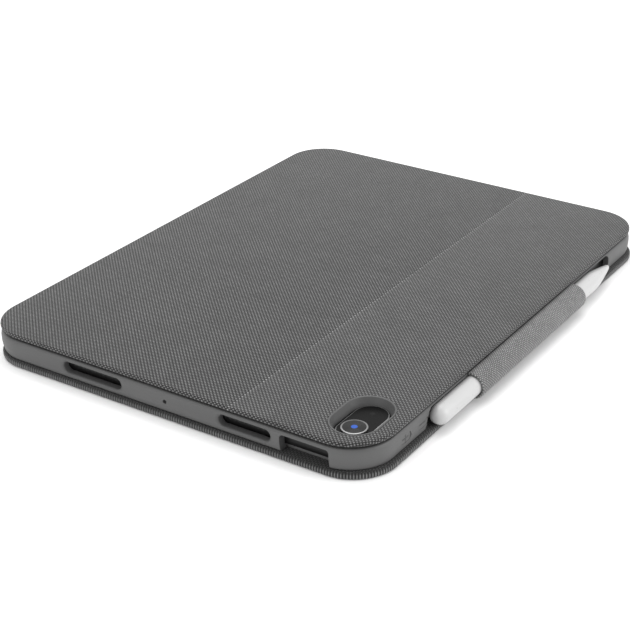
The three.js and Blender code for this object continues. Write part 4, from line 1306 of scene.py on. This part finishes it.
@dataclass
class Keyboard:
    """The keycaps and their generic legends."""

    units: float = 14.5
    side_margin: float = 4.5 * MM
    rear_margin: float = 6.0 * MM
    gap: float = 2.0 * MM
    shortcut_share: float = 0.6
    trackpad_depth: float = 60.0 * MM
    trackpad_margin: float = 5.0 * MM
    cap_height: float = 1.5 * MM
    cap_corner: float = 1.1 * MM
    cap_edge: float = 0.25 * MM
    sign_size: float = 5.2
    word_size: float = 2.7
    ink_depth: float = 0.015 * MM
    rows: list[list[tuple[float, str]]] = field(default_factory=lambda: [
        [(14.5 / 14, word) for word in ("esc", "", "", "", "", "", "", "", "", "", "", "", "", "")],
        [(1.0, sign) for sign in "`1234567890-="] + [(1.5, "delete")],
        [(1.5, "tab")] + [(1.0, sign) for sign in "QWERTYUIOP[]\\"],
        [(1.75, "caps")] + [(1.0, sign) for sign in "ASDFGHJKL;'"] + [(1.75, "return")],
        [(2.25, "shift")] + [(1.0, sign) for sign in "ZXCVBNM,./"] + [(2.25, "shift")],
        [(1.0, "fn"), (1.0, "ctrl"), (1.0, "alt"), (1.25, "cmd"), (5.0, " "),
         (1.25, "cmd"), (1.0, "alt"), (1.0, "<"), (1.0, "^"), (1.0, ">")],
    ])

    def cap(self, low: Place, high: Place) -> Workpiece:
        """Returns one keycap with soft edges."""
        cap = Workpiece.block("cap", low, high)
        cap.pick_edges(lambda a, b: abs(a.z - b.z) > 0.1 * MM)
        cap.bevel(self.cap_corner, 3)
        return cap.round_top(high[2], self.cap_edge, 2)

    def legend(self, word: str, x: float, y: float, z: float) -> bpy.types.Object:
        """Returns a flat legend as a mesh, a hair above the cap."""
        bpy.ops.object.select_all(action="DESELECT")
        bpy.ops.object.text_add(location=(x, y, z))
        text = bpy.context.active_object
        text.data.body = word
        text.data.align_x = "CENTER"
        text.data.align_y = "CENTER"
        text.data.size = (self.sign_size if len(word) == 1 else self.word_size) * MM
        text.data.resolution_u = 1
        text.data.extrude = self.ink_depth
        bpy.ops.object.convert(target="MESH")
        bpy.ops.object.transform_apply(location=True, rotation=True, scale=True)
        return text

    def build(self, plastic: bpy.types.Material, ink: bpy.types.Material) -> None:
        """Makes every row as a piece of its own, and the space bar.

        Args:
            plastic: The keycap plastic.
            ink: The legends' light tone.
        """
        deck_low, deck_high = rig.box("keyboard_deck")
        left = deck_low[0] + self.side_margin
        pitch = (deck_high[0] - self.side_margin - left) / self.units
        trackpad_rear = deck_low[1] + self.trackpad_margin + self.trackpad_depth
        depth = deck_high[1] - self.rear_margin - trackpad_rear - self.trackpad_margin
        row_pitch = depth / (len(self.rows) - 1 + self.shortcut_share)
        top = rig.box("key_row_1")[1][2]
        rear = deck_high[1] - self.rear_margin
        for row, keys in enumerate(self.rows):
            size = row_pitch * (self.shortcut_share if row == 0 else 1)
            x = left
            caps: dict[str, list[bpy.types.Object]] = {}
            signs: dict[str, list[bpy.types.Object]] = {}
            for width, word in keys:
                low = (x + self.gap / 2, rear - size + self.gap / 2, top - self.cap_height)
                high = (x + width * pitch - self.gap / 2, rear - self.gap / 2, top)
                body = "space_bar" if word == " " else f"key_row_{row + 1}"
                caps.setdefault(body, []).append(self.cap(low, high).piece)
                if word.strip():
                    sign = self.legend(word, (low[0] + high[0]) / 2, (low[1] + high[1]) / 2, top)
                    signs.setdefault(body, []).append(sign)
                x += width * pitch
            rear -= size
            for body, made in caps.items():
                report(self.join(f"{body}_caps", made).smooth(35).dress(plastic), body, body)
            for body, made in signs.items():
                report(self.join(f"{body}_legends", made).dress(ink), body)

    @staticmethod
    def join(name: str, made: list[bpy.types.Object]) -> Workpiece:
        """Joins the objects into one piece."""
        bpy.ops.object.select_all(action="DESELECT")
        for one in made:
            one.select_set(True)
        bpy.context.view_layer.objects.active = made[0]
        if len(made) > 1:
            bpy.ops.object.join()
        return Workpiece(name)


@dataclass
class HeldTablet:
    """The tablet and the stylus that the case holds, shown for scale and not part of it."""

    width: float = 247.6 * MM
    depth: float = 178.5 * MM
    front: float = -95.15 * MM
    face: float = 5.2 * MM
    back: float = 11.3 * MM
    corner: float = 16.0 * MM
    camera: tuple[float, float] = (-105.15 * MM, -81.6 * MM)
    plateau_half: float = 6.25 * MM
    plateau_radius: float = 7.4 * MM
    plateau_top: float = 12.7 * MM
    hole_pitch: float = 2.1
    hole_radius: float = 0.62 * MM
    stylus_axis: tuple[float, float] = (-99.6 * MM, 7.6 * MM)
    stylus_radius: float = 4.45 * MM
    stylus_span: tuple[float, float] = (-76.0 * MM, 63.0 * MM)
    stylus_tip: tuple[tuple[float, float], ...] = (
        (2.0, 4.38), (3.0, 4.1), (5.0, 3.3), (6.0, 2.2), (4.4, 1.3), (0.8, 0.95), (0.3, 0.5)
    )

    def stage(self, piece: Workpiece, material: bpy.types.Material) -> None:
        """Dresses a piece, hangs it on the tray and keeps it out of the model."""
        piece.tidy().smooth(35).dress(material)
        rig.ride(piece.piece, "tray")
        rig.stage(piece.piece)
        LOG.info("%s is staged", piece.piece.name)

    def slab(self) -> Workpiece:
        """Returns the tablet's body."""
        half = self.width / 2
        slab = Workpiece.block(
            "held_tablet", (-half, self.front, self.face), (half, self.front + self.depth, self.back)
        )
        slab.round_upright(self.corner, 12)
        slab.pick_edges(lambda a, b: abs(a.z - b.z) < CLOSE)
        slab.bevel(0.5 * MM, 2)
        return slab

    def perforations(self, dark: bpy.types.Material) -> None:
        """Adds the speaker holes on the tablet's sides as black dots, painted shade in place of the holes' depth."""
        for side in Side:
            for start, length in Bumper().speakers:
                count = int(length / self.hole_pitch)
                dots = []
                for index in range(count):
                    y = (start + (index + 0.5) * length / count) * MM
                    x = side.value * self.width / 2
                    dots.append(Workpiece.rod(
                        "dot", self.hole_radius, (x - side.value * 0.1 * MM, y, Bumper.middle_height),
                        (x + side.value * 0.03 * MM, y, Bumper.middle_height), 14,
                    ).piece)
                self.stage(Keyboard.join("speaker_holes", dots), dark)

    def plateau(self, metal: bpy.types.Material, glass: bpy.types.Material, lens: bpy.types.Material,
                blue: bpy.types.Material) -> None:
        """Adds the camera plateau: metal rim, black glass, lens ring, lens with a blue disc that paints the lens's
        reflection, and the microphone hole as a black disc of painted shade.
        """
        x, y = self.camera
        up = Vector((0, 0, 1))
        rim = Workpiece.stadium(
            "plateau_rim", (x, y, (self.back + self.plateau_top) / 2), Vector((self.plateau_half, 0, 0)),
            self.plateau_radius, up * (self.plateau_top - self.back), 12,
        )
        rim.round_top(self.plateau_top, 0.3 * MM, 3)
        self.stage(rim, metal)
        plate = Workpiece.stadium(
            "plateau_glass", (x, y, self.plateau_top), Vector((self.plateau_half, 0, 0)),
            self.plateau_radius - 0.55 * MM, up * 0.12 * MM, 12,
        )
        self.stage(plate, glass)
        lens_x = x - self.plateau_half + 0.35 * MM
        level = self.plateau_top
        # The last disc is a painted reflection: a blue glint on the lens.
        for name, radius, top, material in (
            ("lens_ring", 5.4, 1.1, metal), ("lens_glass", 4.75, 1.14, lens),
            ("lens_inner", 3.0, 1.17, lens), ("lens_pupil", 1.3, 1.2, blue),
        ):
            end = level + top * MM
            disc = Workpiece.rod(name, radius * MM, (lens_x, y, level - 0.2 * MM), (lens_x, y, end), 48)
            disc.round_top(end, 0.05 * MM, 2)
            self.stage(disc, material)
        # Painted shade: a black disc stands for the microphone hole's depth.
        hole_x = x + self.plateau_half + 1.2 * MM
        hole = Workpiece.rod(
            "sound_hole", 1.05 * MM, (hole_x, y, level - 0.1 * MM), (hole_x, y, level + 0.08 * MM), 20
        )
        self.stage(hole, Moulding("hole_dark", 0.001, roughness=0.9).material())

    def stylus(self, white: bpy.types.Material) -> None:
        """Adds the white stylus with its round end and pointed tip."""
        y, z = self.stylus_axis
        radius = self.stylus_radius
        start, end = self.stylus_span
        body = Workpiece.rod("held_stylus", radius, (start, y, z), (end, y, z), 48)
        edge, wide = end, radius
        for run, size in self.stylus_tip:
            body.pick_faces(lambda c, n: n.x > FACING)
            body.extrude((run * MM, 0, 0))
            edge += run * MM
            factor = size * MM / wide
            body.scale((1, factor, factor), (edge, y, z))
            wide = size * MM
        edge, wide = start, radius
        for angle in range(15, 90, 15):
            size = radius * math.cos(math.radians(angle))
            goal = start - radius * math.sin(math.radians(angle))
            body.pick_faces(lambda c, n: n.x < -FACING)
            body.extrude((goal - edge, 0, 0))
            edge = goal
            body.scale((1, size / wide, size / wide), (edge, y, z))
            wide = size
        self.stage(body, white)

    def build(self) -> None:
        """Makes the tablet and the stylus."""
        metal = Moulding("tablet_metal", 0.03, roughness=0.35, metallic=0.9).material()
        bright = Moulding("plateau_metal", 0.3, roughness=0.35, metallic=1.0).material()
        glass = Moulding("camera_glass", 0.002, roughness=0.3, spread=0.02, gloss=0.12).material()
        # Painted shade: black dots stand for the depth of the speaker holes.
        dark = Moulding("speaker_dark", 0.001, roughness=0.6).material()
        lens = Moulding("lens_dark", 0.02, roughness=0.3, gloss=0.15).material()
        # Painted reflection: this blue tone stands for the glint off the lens.
        blue = Moulding("lens_coating", 0.09, (0.4, 1.1, 4.6), roughness=0.25, gloss=0.1).material()
        white = Moulding("stylus_white", 0.46, roughness=0.3, spread=0.01).material()
        self.stage(self.slab(), metal)
        self.perforations(dark)
        self.plateau(bright, glass, lens, blue)
        self.stylus(white)


@dataclass
class InnerParts:
    """The parts inside the case, which keep their shapes and get their finishes."""

    def build(self) -> None:
        """Dresses every node that still shows."""
        board = Moulding("stiff_board", 0.05, roughness=0.85, scale=1500).material()
        plastic = Moulding("back_plate_plastic", 0.09, roughness=0.6).material()
        deck = Moulding("deck_plastic", 0.13, roughness=0.6, scale=2200).material()
        pad = Moulding("trackpad_glass", 0.085, roughness=0.32, scale=3000).material()
        circuit = Moulding("circuit_green", 0.06, (0.35, 1.4, 0.8), roughness=0.45).material()
        film = Moulding("ribbon_film", 0.28, (1.2, 0.75, 0.3), roughness=0.4).material()
        steel = TurnedSteel().material()
        dressed = {
            board: ("cover_board", "front_panel_board", "kickstand_board", "spine_board"),
            plastic: ("tray_back_plate", "contact_block", "spine_clamp", "flex_connector"),
            deck: ("keyboard_deck",),
            pad: ("trackpad_surface",),
            circuit: ("circuit_board", "trackpad_board"),
            film: ("key_membrane", "spine_ribbon"),
        }
        for material, nodes in dressed.items():
            for node in nodes:
                self.coat(node, material)
        for node in frame["nodes"]:
            if node.startswith(("hinge_", "clamp_screw", "latch_magnet", "closing_magnet")):
                self.coat(node, steel)
        for node in ("kickstand_magnet", "trackpad_switch"):
            self.coat(node, steel)

    @staticmethod
    def coat(node: str, material: bpy.types.Material) -> None:
        """Gives a node its finish."""
        part = frame["nodes"][node]
        for slot in part.material_slots:
            slot.material = material
        LOG.info("%s is dressed in %s", node, material.name)


@dataclass
class Studio:
    """The floor, the lights and the camera."""

    eye: Place = (-0.5355, -0.3546, 0.3220)
    azimuth: float = -58.19
    elevation: float = 26.67
    roll: float = 0.17
    lens: float = 87.8
    shift: tuple[float, float] = (-0.0972, -0.025)
    sensor: float = 36.0
    near: float = 0.01
    floor_size: float = 12.0
    air: float = 0.85
    lamps: tuple[tuple[str, Place, float, float], ...] = (
        ("overhead_softbox", (0.15, 0.25, 1.3), 1.3, 13.0),
        ("front_softbox", (0.35, -1.1, 0.5), 0.8, 7.0),
        ("side_softbox", (-1.2, 0.15, 0.45), 0.9, 3.0),
    )

    def camera(self) -> None:
        """Adds the camera."""
        turn, tilt = math.radians(self.azimuth), math.radians(self.elevation)
        level = math.cos(tilt)
        back = Vector((math.sin(turn) * level, -math.cos(turn) * level, math.sin(tilt)))
        right = Vector((math.cos(turn), math.sin(turn), 0))
        up = back.cross(right)
        lean = math.radians(self.roll)
        across = right * math.cos(lean) + up * math.sin(lean)
        upright = up * math.cos(lean) - right * math.sin(lean)
        bpy.ops.object.camera_add(location=self.eye)
        camera = bpy.context.active_object
        camera.rotation_euler = Matrix((across, upright, back)).transposed().to_euler()
        camera.data.lens = self.lens
        camera.data.sensor_width = self.sensor
        camera.data.shift_x, camera.data.shift_y = self.shift
        camera.data.clip_start = self.near
        bpy.context.scene.camera = camera

    def floor(self) -> None:
        """Adds the pale floor."""
        bpy.ops.object.select_all(action="DESELECT")
        bpy.ops.mesh.primitive_plane_add(size=self.floor_size, location=(0, 0, -0.05 * MM))
        floor = Workpiece("studio_floor")
        floor.dress(Moulding("floor_white", 0.92, roughness=0.9, spread=0.005, scale=20).material())
        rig.stage(floor.piece)

    def light(self, name: str, place: Place, size: float, watts: float) -> None:
        """Adds one soft square light aimed at the middle of the case."""
        bpy.ops.object.light_add(type="AREA", location=place)
        lamp = bpy.context.active_object
        lamp.name = name
        lamp.data.shape = "SQUARE"
        lamp.data.size = size
        lamp.data.energy = watts
        lamp.rotation_euler = (-Vector(place)).to_track_quat("-Z", "Y").to_euler()

    def build(self) -> None:
        """Sets up the studio."""
        self.camera()
        self.floor()
        for lamp in self.lamps:
            self.light(*lamp)
        world = bpy.data.worlds.new("studio_air")
        bpy.context.scene.world = world
        world.use_nodes = True
        world.node_tree.nodes["Background"].inputs["Color"].default_value = (1, 1, 1, 1)
        world.node_tree.nodes["Background"].inputs["Strength"].default_value = self.air
        bpy.context.scene.view_settings.view_transform = "Standard"


def main() -> None:
    """Builds the studio and every piece of the case in order, then writes both boxes."""
    logging.basicConfig(level=logging.INFO, format="%(message)s")
    Studio().build()
    cloth = WovenCloth("melange_weave").material()
    creased = WovenCloth("creased_weave", crease=-33.95 * MM).material()
    shell = SoftPolymer("bumper_polymer").material()
    mark = SoftPolymer("mark_polymer", tone=0.045).material()
    TopCloth().build(creased)
    # The lower cover's weave gets painted shade over its top (inner=0.3), where the tray wall shades it.
    LowerCover().build(WovenCloth("lined_weave", inner=0.3).material())
    SpineCloth().build(cloth)
    StylusFlap().build(WovenCloth("flap_weave", light=0.25, dark=0.09, thread=0.72 * MM).material())
    Bumper().build(shell)
    # A black strip in the seam under the top cloth, painted shadow.
    Bumper().gasket(Moulding("seam_rubber", 0.006, roughness=0.9).material())
    CameraTrim().build(SoftPolymer("trim_polymer", tone=0.075).material())
    VolumeMarks().build(shell, mark)
    Keyboard().build(
        Moulding("keycap_plastic", 0.022, roughness=0.5, scale=2500).material(),
        Moulding("legend_ink", 0.6, roughness=0.6, spread=0.02).material(),
    )
    InnerParts().build()
    HeldTablet().build()
    boxes = {"cad": [list(c) for c in CAD_BOX], "visual": [list(c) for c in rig.bounds()]}
    with open("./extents.json", "w", encoding="utf-8") as record:
        json.dump(boxes, record)


if __name__ == "__main__":
    main()
